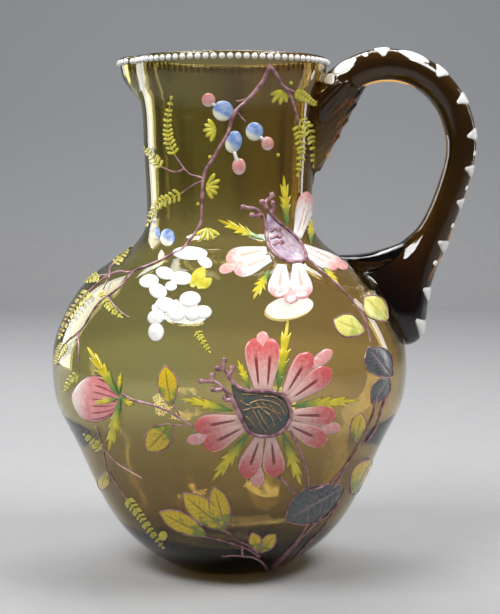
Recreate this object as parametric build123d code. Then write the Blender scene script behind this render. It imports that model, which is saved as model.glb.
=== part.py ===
"""Enamelled glass lemonade jug: a blown body with a pinched spout, an applied handle and raised enamel.

Millimetres, +Z up. The origin is the centre of the flat foot. The spout points along -X, the
handle stands on +X and the front of the jug, with the flowers, faces -Y.
"""
import os
from bisect import bisect_left
from math import atan2, cos, degrees, hypot, pi, radians, sin, sqrt

from build123d import *

# Glass body, radii from the jug's axis and heights above the foot
foot_radius = 24.0
belly_radius = 83.8
belly_height = 98.0
waist_radius = 38.8
waist_height = 170.0
throat_radius = 41.4
throat_height = 219.0
lip_radius = 45.8
lip_height = 235.0
rim_height = 240.0
wall = 3.2
base_thickness = 8.0
rim_round = 1.1

# Pinched spout, a round pouch with its own upright axis
spout_reach = 51.3
spout_half_width = 20.0
spout_bottom = 217.0

# Handle, one thick strand of glass with a crimped tail and a spread root
handle_reach = 116.5
handle_top = 244.3
handle_crest = 74.8
handle_bow_height = 198.5
strand_thickness = 15.0
strand_width = 17.0
joint_height = 219.0
root_height = 128.0
root_length = 42.0
root_width = 33.0
tail_tip_height = 187.0
tail_top_reach = 24.5
tail_width = 17.0
tail_tip_width = 7.0
crimp_count = 10
crimp_radius = 1.1
crimp_lean = 25.0
crimp_bite = 0.72
strand_sink = 5.0

# Raised enamel
relief = 0.6
stem_width = 1.7
twig_width = 1.2
motif_gap = 0.4
prism_reach = 8.0
bead_radius = 1.4
bead_count = 70
bead_drop = 2.6
bead_margin = 1.6
mark_length = 8.0
mark_width = 3.6
mark_proud = 1.0
mark_seat = 2.5
mark_count = 15
mark_first = 0.04
mark_last = 0.93

# Outline of the glass, from the foot up to the rim


def share(start, end, part):
    """A value that lies a given part of the way from start to end."""
    return start + part * (end - start)


def wall_points():
    """Three runs of (radius, height) points: foot to belly, belly to waist, waist to rim."""
    lower = [(foot_radius, 0)]
    for out, up in ((0.14, 0.041), (0.4, 0.163), (0.66, 0.408), (0.875, 0.694)):
        lower.append((share(foot_radius, belly_radius, out), belly_height * up))
    lower.append((belly_radius, belly_height))
    shoulder = [(belly_radius, belly_height)]
    for inward, up in ((0.107, 0.278), (0.318, 0.5), (0.644, 0.667), (0.902, 0.778), (0.984, 0.861)):
        shoulder.append((share(belly_radius, waist_radius, inward), share(belly_height, waist_height, up)))
    shoulder.append((waist_radius, waist_height))
    neck = [
        (waist_radius, waist_height),
        (share(waist_radius, throat_radius, 0.6), share(waist_height, throat_height, 0.7)),
        (throat_radius, throat_height),
        (share(throat_radius, lip_radius, 0.65), share(throat_height, lip_height, 0.57)),
        (lip_radius, lip_height),
    ]
    return lower, shoulder, neck


def outline(points, start, end):
    """A smooth curve through (radius, height) points, in the XZ plane."""
    return Spline(*[(radius, 0, height) for radius, height in points], tangents=[start, end])


upright = (0, 0, 1)
heel_direction = (1, 0, 0.3)
lower_points, shoulder_points, neck_points = wall_points()
outer_curves = [
    outline(lower_points, heel_direction, upright),
    outline(shoulder_points, upright, upright),
    outline(neck_points, upright, upright),
    Line((lip_radius, 0, lip_height), (lip_radius, 0, rim_height)),
]
samples_per_curve = 60
profile = [(curve @ (step / samples_per_curve)) for curve in outer_curves for step in range(samples_per_curve)]
profile.append(outer_curves[-1] @ 1)
profile_heights = [point.Z for point in profile]


def radius_and_slope(height):
    """Outer radius at a height, and how fast it grows with height there."""
    index = min(max(bisect_left(profile_heights, height), 1), len(profile) - 1)
    low, high = profile[index - 1], profile[index]
    slope = (high.X - low.X) / max(high.Z - low.Z, 1e-6)
    return low.X + slope * (height - low.Z), slope


def radius_at(height):
    return radius_and_slope(height)[0]


def offset_points(points, distance):
    """The same run of points, moved square to the wall: inwards is negative."""
    moved = []
    for radius, height in points:
        slope = radius_and_slope(height)[1]
        length = hypot(1, slope)
        moved.append((radius + distance / length, height - distance * slope / length))
    return moved


def solid_of_revolution(edges, rounding):
    """The solid that the wall curves bound, closed at the rim and along the axis.

    The rim's corner is rounded by rim_round, inwards on a body (-1) and outwards where the
    solid is the room inside one (+1), which then runs on past the rim to cut cleanly.
    """
    first, last = edges[0] @ 0, edges[-1] @ 1
    shoulder = rim_height - rim_round
    edge_radius = last.X + rounding * rim_round
    bulge = last.X + rounding * rim_round * (1 - sqrt(0.5))
    top = rim_height + (rim_round if rounding > 0 else 0)
    closing = [
        Line((last.X, 0, last.Z), (last.X, 0, shoulder)),
        ThreePointArc(
            (last.X, 0, shoulder),
            (bulge, 0, shoulder + rim_round * sqrt(0.5)),
            (edge_radius, 0, rim_height),
        ),
        Line((edge_radius, 0, top), (0, 0, top)),
        Line((0, 0, top), (0, 0, first.Z)),
    ]
    if top > rim_height:
        closing.append(Line((edge_radius, 0, rim_height), (edge_radius, 0, top)))
    if first.X > 0:
        closing.append(Line((0, 0, first.Z), (first.X, 0, first.Z)))
    return revolve(make_face(edges + closing), Axis.Z)


def make_outer_solid(grow=0.0):
    """The body as if it were solid glass, or swollen a little to bound the enamel."""
    if grow == 0:
        return solid_of_revolution(outer_curves[:-1], -1)
    lower = offset_points(lower_points[1:], grow)
    curves = [
        outline(lower, heel_direction, upright),
        outline([lower[-1]] + offset_points(shoulder_points[1:], grow), upright, upright),
    ]
    neck = offset_points(neck_points[1:], grow)
    waist = curves[-1] @ 1
    curves.append(outline([(waist.X, waist.Z)] + neck, upright, upright))
    return solid_of_revolution(curves, -1)


def make_inside():
    """The room that the body holds, one wall thickness inside the outer curves."""
    lower = [(0, base_thickness), (foot_radius * 1.1, base_thickness * 1.15)]
    lower += offset_points(lower_points[2:], -wall)
    shoulder = [lower[-1]] + offset_points(shoulder_points[1:], -wall)
    neck = [shoulder[-1]] + offset_points(neck_points[1:], -wall)
    curves = [
        outline(lower, (1, 0, 0), upright),
        outline(shoulder, upright, upright),
        outline(neck, upright, upright),
    ]
    return solid_of_revolution(curves, 1)


# Spout: a small pouch pulled out of the lip

spout_axis = spout_reach - spout_half_width


def spout_pouch(inset, rounding):
    """The pouch as a round solid about its own axis, drawn in by inset."""
    rise = rim_height - spout_bottom
    start = throat_radius - spout_axis
    points = [(start - inset - wall, spout_bottom)]
    for out, up in ((0.13, 0.19), (0.37, 0.3), (0.66, 0.42), (0.93, 0.63), (1.0, 0.8)):
        points.append((share(start, spout_half_width, out) - inset, spout_bottom + rise * up))
    curve = outline(points, (1, 0, 1), upright)
    return Pos(-spout_axis, 0, 0) * solid_of_revolution([curve], rounding)


def make_glass_body():
    shell = make_outer_solid() + spout_pouch(0, -1)
    return shell - make_inside() - spout_pouch(wall, 1)


# Handle: stations down one strand, each an ellipse square to the strand


def handle_centres():
    """Centre of the strand as (x, height), from inside the neck to inside the shoulder."""
    bow = handle_reach - strand_thickness / 2
    crest = handle_top - strand_thickness / 2
    joint = radius_at(joint_height)
    root = radius_at(root_height)
    centres = [(joint - wall, joint_height - strand_sink)]
    for out, up in ((0.3, 0.5), (0.6, 0.86)):
        centres.append((share(joint, handle_crest, out), share(joint_height, crest, up)))
    for turn in (0, 28, 58, 90):
        across, rise = sin(radians(turn)), cos(radians(turn))
        centres.append((share(handle_crest, bow, across), share(handle_bow_height, crest, rise)))
    for inward, down in ((0.12, 0.28), (0.28, 0.49), (0.46, 0.66), (0.68, 0.815), (0.92, 0.985), (1.2, 1.14)):
        centres.append((share(bow, root, inward), share(handle_bow_height, root_height, down)))
    return centres


def handle_sizes():
    """Thickness and width of the strand at each station."""
    thick, wide = strand_thickness, strand_width
    sizes = [(thick * 1.15, wide), (thick * 1.04, wide), (thick * 1.04, wide)]
    sizes += [(thick * 1.04, wide), (thick, wide), (thick, wide), (thick * 0.95, wide)]
    sizes += [(thick * 0.93, wide * 0.95), (thick * 0.97, wide)]
    for spread in (0.1, 0.4, 1.0, 0.9):
        sizes.append((share(thick, root_length, spread), share(wide, root_width, spread)))
    return sizes


def strand_frames():
    """For each station: centre, direction along the strand, thickness and width."""
    centres = handle_centres()
    frames = []
    for index, (centre, size) in enumerate(zip(centres, handle_sizes())):
        before = centres[max(index - 1, 0)]
        after = centres[min(index + 1, len(centres) - 1)]
        along = Vector(after[0] - before[0], 0, after[1] - before[1]).normalized()
        frames.append((Vector(centre[0], 0, centre[1]), along, *size))
    return frames


def make_strand():
    sections = []
    for centre, along, thickness, width in strand_frames():
        plane = Plane(origin=centre, x_dir=(0, 1, 0), z_dir=along)
        sections.append(plane * Ellipse(width / 2, thickness / 2))
    return loft(sections)


def make_tail():
    """The drawn-down end of the strand, a wedge on the neck with tool marks across it."""
    neck = radius_at(tail_tip_height)
    top = joint_height + strand_thickness / 2
    low = Plane(origin=(neck - wall, 0, tail_tip_height)) * Ellipse(2 * wall, tail_tip_width / 2)
    high = Plane(origin=(neck, 0, top)) * Ellipse(tail_top_reach, tail_width / 2)
    wedge = loft([low, high])
    for index in range(crimp_count):
        part = (index + 0.5) / crimp_count
        height = share(tail_tip_height, top, part)
        side = share(tail_tip_width, tail_width, part) / 2
        for face in (-1, 1):
            groove = Cylinder(crimp_radius, 3 * tail_top_reach, rotation=(0, 90 - crimp_lean, 0))
            wedge -= Pos(neck, face * (side + crimp_radius - crimp_bite), height) * groove
    return wedge


def make_handle(strand, outer):
    handle = strand + make_tail() - outer
    return max(handle.solids(), key=lambda solid: solid.volume)


def ridge_curve():
    """The outer edge of the strand, where the marks sit, from the joint down to the root."""
    ridge = []
    for centre, along, thickness, _ in strand_frames()[1:-2]:
        ridge.append(centre + Vector(-along.Z, 0, along.X) * (thickness / 2))
    return Spline(*ridge)


def make_handle_marks(strand):
    """Short raised strokes along the ridge, a long one and a short one in turn."""
    ridge = ridge_curve()
    marks = []
    for index in range(mark_count):
        place = share(mark_first, mark_last, index / (mark_count - 1))
        half = mark_length / (2 if index % 2 == 0 else 4)
        plane = Plane(origin=ridge @ place, x_dir=ridge % place, z_dir=(0, -1, 0))
        crown = ThreePointArc((-half, 0), (0, mark_proud), (half, 0))
        seat = Polyline((half, 0), (half, -mark_seat), (-half, -mark_seat), (-half, 0))
        marks.append(extrude(plane * make_face([crown, seat]), amount=mark_width / 2, both=True))
    return cut_each(marks, strand)


# Enamel helpers. A place on the glass is (azimuth, level): azimuth in degrees from the front
# towards the handle, level 0 at the foot, 100 at the belly, 200 at the waist and 300 at the rim.


def height_of(level):
    landmarks = (0, belly_height, waist_height, rim_height)
    zone = min(max(int(level // 100), 0), 2)
    return share(landmarks[zone], landmarks[zone + 1], level / 100 - zone)


def on_glass(azimuth, level):
    """Point on the outer wall and the direction square to it."""
    height = height_of(level)
    radius, slope = radius_and_slope(height)
    turn = radians(azimuth)
    length = hypot(1, slope)
    point = Vector(radius * sin(turn), -radius * cos(turn), height)
    return point, Vector(sin(turn) / length, -cos(turn) / length, -slope / length)


def wall_plane(azimuth, level):
    """Plane on the wall: x to the right round the jug, y up the wall, z out of the glass."""
    point, normal = on_glass(azimuth, level)
    turn = radians(azimuth)
    return Plane(origin=point, x_dir=(cos(turn), sin(turn), 0), z_dir=normal)


def prism(azimuth, level, turn, face):
    """A flat outline pushed through the enamel layer, turned anticlockwise by turn degrees."""
    placed = wall_plane(azimuth, level) * Rot(0, 0, turn) * face
    return extrude(placed, amount=prism_reach, both=True)


def cut_each(pieces, tool):
    """What is left of each piece outside a tool, as separate solids."""
    return Compound([solid for piece in pieces for solid in (piece - tool).solids()])


def plank(start, end, width):
    """A straight stroke with round ends between two places on the glass."""
    first, last = on_glass(*start)[0], on_glass(*end)[0]
    plane = wall_plane((start[0] + end[0]) / 2, (start[1] + end[1]) / 2)
    one, two = plane.to_local_coords(first), plane.to_local_coords(last)
    middle = ((one.X + two.X) / 2, (one.Y + two.Y) / 2)
    run = hypot(two.X - one.X, two.Y - one.Y)
    turn = degrees(atan2(two.Y - one.Y, two.X - one.X))
    stroke = Pos(*middle) * Rot(0, 0, turn) * SlotOverall(run + width, width)
    return extrude(plane * stroke, amount=prism_reach / 2, both=True)


def boxes_meet(one, two):
    """Whether two bounding boxes share any room."""
    lows, highs = (one.min, two.min), (one.max, two.max)
    return all(
        max(getattr(low, axis) for low in lows) < min(getattr(high, axis) for high in highs)
        for axis in "XYZ"
    )


def strokes(paths, width):
    return [plank(start, end, width) for path in paths for start, end in zip(path, path[1:])]


# Outlines of the motifs, each centred on its middle and pointing up


def closed_curve(points, length, width):
    """A smooth closed outline through points given as shares of half the width and the length."""
    return make_face(Spline(*[(x * width / 2, (y - 0.5) * length) for x, y in points], periodic=True))


def petal(length, width):
    right = [(0.3, 0.04), (0.72, 0.4), (1.0, 0.75), (0.72, 0.96), (0.3, 0.95)]
    left = [(-x, y) for x, y in reversed(right)]
    return closed_curve(right + [(0, 0.98)] + left, length, width)


def leaf(length, width):
    """A pointed leaf bounded by two arcs."""
    half = length / 2
    right = ThreePointArc((0, -half), (width / 2, 0), (0, half))
    left = ThreePointArc((0, half), (-width / 2, 0), (0, -half))
    return make_face([right, left])


def lobed_leaf(length, width):
    right = [(0.25, 0.02), (0.85, 0.22), (0.9, 0.45), (1.0, 0.68), (0.55, 0.82)]
    left = [(-x, y) for x, y in reversed(right)]
    return closed_curve(right + [(0, 1.0)] + left, length, width)


def feather(length, width, teeth=6):
    """A fern or a cut leaf: a lens with saw teeth along both sides."""
    right, pitch = [], length / teeth
    for tooth in range(teeth):
        root = tooth * pitch
        reach = width / 2 * sqrt(max(sin(pi * (tooth + 0.6) / (teeth + 0.6)), 0.1))
        right += [(reach * 0.35, root), (reach, root + pitch * 0.9)]
    left = [(-x, y) for x, y in reversed(right)]
    points = [(x, y - length / 2) for x, y in right + [(0, length)] + left]
    return make_face(Polyline(*points, close=True))


def fan(length, width):
    """Four pointed leaflets that spread from one point."""
    points = [(0, -width * 0.12)]
    for turn in (66, 22, -22, -66):
        across, up = -sin(radians(turn)), cos(radians(turn))
        for side, out in ((-1, 0.55), (0, 1.0), (1, 0.55)):
            x = across * length * out + side * up * width * 0.1
            y = up * length * out - side * across * width * 0.1
            points.append((x, y))
        if turn > -66:
            middle = radians(turn - 22)
            points.append((-sin(middle) * length * 0.2, cos(middle) * length * 0.2))
    return Pos(0, -length / 3) * make_face(Polyline(*points, close=True))


def oval(length, width):
    return Ellipse(width / 2, length / 2)


def prisms(shape, places, grow=0.0):
    """One prism for each (azimuth, level, turn, length, width)."""
    return [
        prism(azimuth, level, turn, shape(length + 2 * grow, width + 2 * grow))
        for azimuth, level, turn, length, width in places
    ]


# Places of the motifs

neck_stems = [
    [(24, 292), (20, 280), (14, 271), (5, 262), (-4, 242), (-16, 223), (-17, 209), (-18, 193),
     (-24, 181), (-30, 173), (-39, 166), (-46, 161)],
    [(24, 290), (31, 282), (37, 277), (43, 275)],
    [(37, 277), (42, 271), (46, 265), (50, 257)],
]
neck_twigs = [
    [(5, 262), (10, 256)],
    [(-17, 220), (-26, 222), (-31, 227), (-36, 235)],
    [(-31, 227), (-38, 224), (-50, 227)],
    [(-17, 218), (-32, 211)],
    [(-4, 258), (1, 251)],
]
shoulder_stems = [
    [(-46, 161), (-54, 161), (-59, 159), (-65, 146), (-72, 128)],
    [(-46, 161), (-51, 143), (-54, 129), (-58, 122), (-66, 113), (-70, 98)],
]
shoulder_twigs = [
    [(-59, 159), (-65, 163)],
    [(-59, 159), (-66, 157)],
    [(-59, 158), (-56, 152)],
    [(-58, 122), (-53, 113), (-51, 102)],
]
flower_stems = [
    [(-31, 93), (-25, 90), (-17, 85), (-11, 81)],
    [(47, 154), (49, 141), (51, 129), (52, 120)],
    [(23, 70), (28, 62), (32, 52)],
]
leaf_twigs = [
    [(-17, 86), (-18, 91)],
    [(-47, 74), (-48, 65), (-42, 58), (-34, 53)],
    [(-48, 65), (-50, 53), (-47, 43), (-45, 37)],
]
lower_stems = [
    [(53, 87), (52, 76), (49, 64), (47, 56), (42, 49), (32, 48)],
    [(59, 87), (58, 73), (55, 66)],
]
base_stems = [
    [(30, 4), (35, 17), (39, 27)],
    [(33, 10), (47, 15), (52, 26)],
    [(30, 4), (22, 11), (9, 15), (-3, 15)],
    [(17, 14), (5, 22), (-9, 27)],
]
neck_fern_places = [
    (-39, 254, -4, 26, 7), (-62, 232, 62, 18, 7), (-49, 202, 112, 27, 7),
    (56, 272, -95, 18, 7), (53, 238, -176, 22, 7), (64, 243, -160, 24, 7),
]
shoulder_fern_places = [
    (-73, 168, 40, 18, 7), (-75, 155, 95, 18, 7), (-77, 119, 165, 22, 8),
    (-47, 142, -130, 20, 8), (-61, 93, -170, 9, 5), (-57, 68, 71, 13, 6),
    (-53, 47, 150, 14, 6), (-41, 26, -160, 24, 7),
]
fan_places = [(-12, 252, 95, 9, 8), (34, 271, 159, 8, 8), (-11, 214, -97, 8, 8), (-13, 184, -171, 8, 8)]
blue_berry_places = [(-3, 264, 0, 5.5, 5), (17, 249, 0, 5, 4.6), (3, 242, 0, 5.6, 4.4)]
blue_berry_places += [(-54, 184, 20, 4, 3), (-43, 182, 20, 5, 4.4)]
pink_berry_places = [(-12, 270, 0, 6.2, 6.4), (26, 242, 0, 6, 6), (7, 226, 0, 6.6, 6)]
white_blossom_places = [
    (-20, 172, -88, 9, 4), (-27, 163, -88, 6, 5), (-33, 156, -87, 6, 4.6), (-20, 158, -88, 6.5, 4.6),
    (-26, 149, -88, 6.5, 5.2), (-12, 146, -89, 6, 5), (-7, 139, -89, 4, 4.4), (-24, 128, 0, 5, 4),
]
pale_leaf_places = [(-14, 162, 40, 10, 5), (-8, 163, -20, 10, 5)]
upper_petal_places = [(9, 168, 109, 25, 12), (25, 156, 172, 22, 15), (60, 196, -25, 22, 11), (58, 164, -112, 22, 12)]
upper_sepal_places = [(8, 188, 72, 18, 5), (42, 206, -1, 18, 5), (67, 178, -60, 12, 5), (15, 160, 150, 16, 5)]
upper_sepal_places += [(45, 162, -160, 13, 6)]
upper_heart_places = [(37, 180, 0, 15, 13)]
lower_petal_places = [(11, 112, 1, 24, 15), (24, 101, -50, 24, 15), (29, 79, -111, 25, 15)]
lower_petal_places += [(9, 64, 166, 22, 16), (-4, 77, 115, 20, 15)]
lower_sepal_places = [
    (19, 117, -20, 20, 6), (2, 104, 40, 14, 5), (-9, 90, 78, 15, 5),
    (35, 90, -85, 19, 6), (-3, 61, 142, 18, 6), (21, 61, -160, 22, 6),
]
lower_heart_places = [(12, 87, -60, 21, 16)]
bud_petal_places = [(-44, 98, 76, 20, 7.4), (-44, 90, 95, 23, 7), (-44, 82, 114, 20, 7.4)]
bud_sepal_places = [(-36, 105, 28, 17, 6), (-36, 75, 152, 17, 6)]
yellow_leaf_places = [
    (45, 130, 75, 17, 12), (63, 138, 20, 15, 11), (-18, 98, 10, 15, 10), (-20, 76, 105, 17, 11),
    (46, 77, -12, 13, 9), (66, 50, -15, 17, 10),
]
dark_leaf_places = [(55, 109, -10, 17, 14), (59, 91, -20, 13, 11), (37, 38, 160, 19, 18)]
base_leaf_places = [
    (-20, 30, 68, 19, 11), (-13, 43, 45, 18, 10.5), (1, 41, -5, 18, 10),
    (14, 23, 22, 12, 6), (22, 22, -20, 12, 6),
]
dot_places = [(-12, 233, 0, 2, 2), (-26, 200, 0, 2, 2), (40, 284, 0, 1.6, 1.6), (34, 233, 0, 1.6, 1.6)]
dot_places += [(-34, 24, 0, 4.4, 4)]


def bead_on(radius):
    """One bead on an upright round wall of a given radius, cut to sit on it."""
    ball = Pos(radius, 0, rim_height - bead_drop) * Sphere(bead_radius)
    return ball - Pos(0, 0, rim_height - bead_drop) * Cylinder(radius, 3 * bead_radius)


def make_rim_beads():
    """A row of beads just under the rim, round the neck and out along the spout."""
    cross = (spout_axis**2 + lip_radius**2 - spout_half_width**2) / (2 * spout_axis)
    half_chord = sqrt(lip_radius**2 - cross**2)
    neck_gap = degrees(atan2(half_chord, cross) + bead_margin / lip_radius)
    spout_sweep = degrees(atan2(half_chord, cross - spout_axis) - bead_margin / spout_half_width)
    neck_bead, spout_bead = bead_on(lip_radius), bead_on(spout_half_width)
    row = []
    for index in range(bead_count):
        turn = 180 + share(neck_gap, 360 - neck_gap, index / (bead_count - 1))
        row.append(Rot(0, 0, turn) * neck_bead)
    spout_count = int(radians(2 * spout_sweep) * spout_half_width * bead_count / (2 * pi * lip_radius))
    for index in range(spout_count + 1):
        turn = 180 + share(-spout_sweep, spout_sweep, index / spout_count)
        row.append(Pos(-spout_axis, 0, 0) * Rot(0, 0, turn) * spout_bead)
    return Compound([solid for bead in row for solid in bead.solids()])


def make_enamel(outer):
    """Every painted motif: prisms of its outlines, cut to the thin layer on the glass."""
    layer = make_outer_solid(relief) - outer
    hearts = prisms(oval, upper_heart_places + lower_heart_places, motif_gap)
    petals = prisms(petal, upper_petal_places + lower_petal_places, motif_gap)
    bud = prisms(petal, bud_petal_places, motif_gap)
    berries = prisms(oval, blue_berry_places + pink_berry_places, motif_gap)
    blossom = prisms(oval, white_blossom_places, motif_gap)
    leaves = prisms(lobed_leaf, yellow_leaf_places + dark_leaf_places + base_leaf_places, motif_gap)

    def painted(shapes, clear=()):
        """Pads of enamel: each shape cut to the layer and clear of the shapes beside it."""
        pads = []
        for shape in shapes:
            for tool in clear:
                if boxes_meet(shape.bounding_box(), tool.bounding_box()):
                    shape -= tool
            pads += (layer & shape).solids()
        return Compound(pads)

    neck = strokes(neck_stems, stem_width) + strokes(neck_twigs, twig_width)
    shoulder = strokes(shoulder_stems, stem_width) + strokes(shoulder_twigs, twig_width)
    flower = strokes(flower_stems, stem_width) + strokes(leaf_twigs, twig_width)
    lower = strokes(lower_stems, stem_width) + strokes(base_stems, stem_width)
    return {
        "neck_branch": painted([Part() + neck], berries + blossom),
        "shoulder_branches": painted([Part() + shoulder], [Part() + neck]),
        "flower_stems": painted([Part() + flower], petals + bud + leaves),
        "lower_branches": painted([Part() + lower], petals + leaves),
        "neck_ferns": painted(prisms(feather, neck_fern_places), neck),
        "shoulder_ferns": painted(prisms(feather, shoulder_fern_places), shoulder + flower),
        "leaf_fans": painted(prisms(fan, fan_places), neck),
        "blue_berries": painted(prisms(oval, blue_berry_places)),
        "pink_berries": painted(prisms(oval, pink_berry_places)),
        "white_blossom": painted(prisms(oval, white_blossom_places)),
        "pale_leaves": painted(prisms(leaf, pale_leaf_places), blossom),
        "upper_flower_petals": painted(prisms(petal, upper_petal_places), hearts),
        "upper_flower_sepals": painted(prisms(feather, upper_sepal_places), hearts + petals),
        "upper_flower_heart": painted(prisms(oval, upper_heart_places)),
        "lower_flower_petals": painted(prisms(petal, lower_petal_places), hearts),
        "lower_flower_sepals": painted(prisms(feather, lower_sepal_places), hearts + petals),
        "lower_flower_heart": painted(prisms(oval, lower_heart_places)),
        "bud_petals": painted(prisms(petal, bud_petal_places)),
        "bud_calyx": painted(prisms(feather, bud_sepal_places), bud),
        "yellow_leaves": painted(prisms(lobed_leaf, yellow_leaf_places)),
        "dark_leaves": painted(prisms(lobed_leaf, dark_leaf_places)),
        "base_leaves": painted(prisms(lobed_leaf, base_leaf_places)),
        "enamel_dots": painted(prisms(oval, dot_places)),
    }


def main():
    os.makedirs("parts", exist_ok=True)
    outer = make_outer_solid()
    strand = make_strand()
    nodes = {
        "glass_body": make_glass_body(),
        "handle": make_handle(strand, outer),
        "handle_marks": make_handle_marks(strand),
        "rim_beads": make_rim_beads(),
    }
    nodes.update(make_enamel(outer))
    for name, shape in nodes.items():
        shape.label = name
        export_step(shape, f"parts/{name}.step")
        print(f"{name}: {len(shape.solids())} solids, {shape.volume:.1f} mm3")


if __name__ == "__main__":
    main()
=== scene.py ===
# %% [markdown]
# # An enamelled glass lemonade jug
#
# This notebook dresses a measured model of an old lemonade jug. The jug is blown olive-amber glass
# with a pinched spout. A thick handle of the same glass was laid on hot, and a spray of flowers was
# then painted on the front in raised enamel. The measured model, called the frame here, gives the
# true places and sizes. Everything is in metres, with the foot's centre at the origin, the spout
# along -X, the handle on +X and the flowers facing -Y.

# %% Load the frame
import random
from math import atan2, cos, hypot, pi, radians, sin, sqrt

import bpy
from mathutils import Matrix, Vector
from mathutils.bvhtree import BVHTree
from mathutils.noise import noise


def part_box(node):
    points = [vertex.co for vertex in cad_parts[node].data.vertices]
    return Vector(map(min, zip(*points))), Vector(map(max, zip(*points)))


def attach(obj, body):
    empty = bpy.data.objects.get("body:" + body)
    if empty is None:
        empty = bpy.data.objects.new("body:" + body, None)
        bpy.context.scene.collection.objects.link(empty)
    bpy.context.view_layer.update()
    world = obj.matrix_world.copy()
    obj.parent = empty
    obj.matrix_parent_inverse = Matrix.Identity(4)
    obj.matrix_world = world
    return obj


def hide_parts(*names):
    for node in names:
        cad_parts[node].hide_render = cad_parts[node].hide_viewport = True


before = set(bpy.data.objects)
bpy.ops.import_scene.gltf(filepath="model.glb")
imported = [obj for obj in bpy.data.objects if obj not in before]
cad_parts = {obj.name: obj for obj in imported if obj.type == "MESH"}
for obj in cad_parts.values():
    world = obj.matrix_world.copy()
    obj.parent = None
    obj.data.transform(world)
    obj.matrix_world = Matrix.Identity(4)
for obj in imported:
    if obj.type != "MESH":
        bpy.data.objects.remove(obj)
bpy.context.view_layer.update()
MM = 0.001

# %% [markdown]
# ## The camera
#
# The photographer stood close, a little above the middle of the jug. Fitting the two ellipses of
# the rim and the foot gives the place, the tilt and the focal length below. The camera comes first,
# because painted motifs are later placed by where they show in the photograph.

# %% Camera
def put_in_scene(name, data):
    """A new object at the origin that shows the data."""
    thing = bpy.data.objects.new(name, data)
    bpy.context.scene.collection.objects.link(thing)
    return thing


PHOTO_WIDTH, PHOTO_HEIGHT = 500, 614
EYE = Vector((0.0097, -0.720, 0.18067))
EYE_TILT = radians(4.569)
FOCAL_PX = 1522.24
SENSOR = 36.0

camera_data = bpy.data.cameras.new("camera")
camera_data.sensor_width = SENSOR
camera_data.lens = FOCAL_PX * SENSOR / PHOTO_HEIGHT
camera = put_in_scene("camera", camera_data)
camera.location = EYE
camera.rotation_euler = (radians(90) - EYE_TILT, 0, 0)
bpy.context.scene.camera = camera
print(f"lens {camera_data.lens:.1f} mm")

# %% [markdown]
# ## Small modelling helpers
#
# An operator works on whatever is selected, so each helper first lets go of everything. A finished
# piece keeps its object at the origin, with its place in its mesh, and rides on the one body that
# the frame has.

# %% Selection, modifiers and joining
def deselect():
    if bpy.context.mode != "OBJECT":
        bpy.ops.object.mode_set(mode="OBJECT")
    bpy.ops.object.select_all(action="DESELECT")


def select(*pieces):
    deselect()
    for piece in pieces:
        piece.select_set(True)
    bpy.context.view_layer.objects.active = pieces[0]


def apply_modifier(piece, kind, **settings):
    """Add a modifier, give it its settings and apply it at once."""
    select(piece)
    modifier = piece.modifiers.new(kind.title(), kind)
    for name, value in settings.items():
        setattr(modifier, name, value)
    bpy.ops.object.modifier_apply(modifier=modifier.name)


def in_edit(piece, *steps):
    """Select the whole mesh in edit mode and take the steps, each an operator and its settings."""
    select(piece)
    bpy.ops.object.mode_set(mode="EDIT")
    for step, settings in steps:
        bpy.ops.mesh.select_all(action="SELECT")
        step(**settings)
    bpy.ops.object.mode_set(mode="OBJECT")


def clean(piece, merge=1e-6):
    """Merge doubles and turn the faces outwards."""
    in_edit(
        piece,
        (bpy.ops.mesh.remove_doubles, {"threshold": merge}),
        (bpy.ops.mesh.normals_make_consistent, {"inside": False}),
    )


def own_copy(piece, name):
    return put_in_scene(name, piece.data.copy())


def join(name, pieces):
    """Many deposits of one kind become one piece."""
    select(*pieces)
    if len(pieces) > 1:
        bpy.ops.object.join()
    joined = bpy.context.view_layer.objects.active
    joined.name = joined.data.name = name
    return joined


def finish_piece(piece, material, slot, *nodes):
    """Finish a piece, keep it off the floor, let it ride and hide the frame nodes it replaces."""
    for vertex in piece.data.vertices:
        vertex.co.z = max(vertex.co.z, 0.0)
    piece.data.materials.clear()
    piece.data.materials.append(material)
    select(piece)
    bpy.ops.object.shade_smooth()
    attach(piece, "root")
    if nodes:
        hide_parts(*nodes)
    print(f"{piece.name}: {len(piece.data.polygons)} faces")
    return piece


# %% [markdown]
# ## Shader arithmetic
#
# A material is easier to read when its maths looks like maths. A wire is one output socket, and
# adding or multiplying wires adds the Math nodes that do it.

# %% Wires
class Wire:
    """An output socket that takes part in ordinary arithmetic."""

    def __init__(self, finish, socket):
        self.finish, self.socket = finish, socket

    def maths(self, operation, *values):
        return self.finish.node("ShaderNodeMath", {"operation": operation}, dict(enumerate(values)))

    def __add__(self, other):
        return self.maths("ADD", self, other)

    def __radd__(self, other):
        return self.maths("ADD", other, self)

    def __sub__(self, other):
        return self.maths("SUBTRACT", self, other)

    def __rsub__(self, other):
        return self.maths("SUBTRACT", other, self)

    def __mul__(self, other):
        return self.maths("MULTIPLY", self, other)

    def __rmul__(self, other):
        return self.maths("MULTIPLY", other, self)

    def size(self):
        return self.maths("ABSOLUTE", self)

    def fraction(self):
        return self.maths("FRACT", self)

    def or_larger(self, other):
        return self.maths("MAXIMUM", self, other)

    def step(self, low, high):
        """0 below low, 1 above high and a soft ramp between; low may be the larger."""
        return self.finish.node(
            "ShaderNodeMapRange",
            {"interpolation_type": "SMOOTHSTEP"},
            {"Value": self, "From Min": low, "From Max": high, "To Min": 0.0, "To Max": 1.0},
        )


print("wires ready")

# %% [markdown]
# ## Finishes
#
# A finish is one material being mixed. It adds nodes when asked and blends colours. It also hands
# out what a colour can follow: the place on the jug, a share kept on the mesh, or a cloudy noise.

# %% Finishes
MIX_FACTOR, MIX_FIRST, MIX_SECOND, MIX_RESULT = 0, 6, 7, 2


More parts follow.
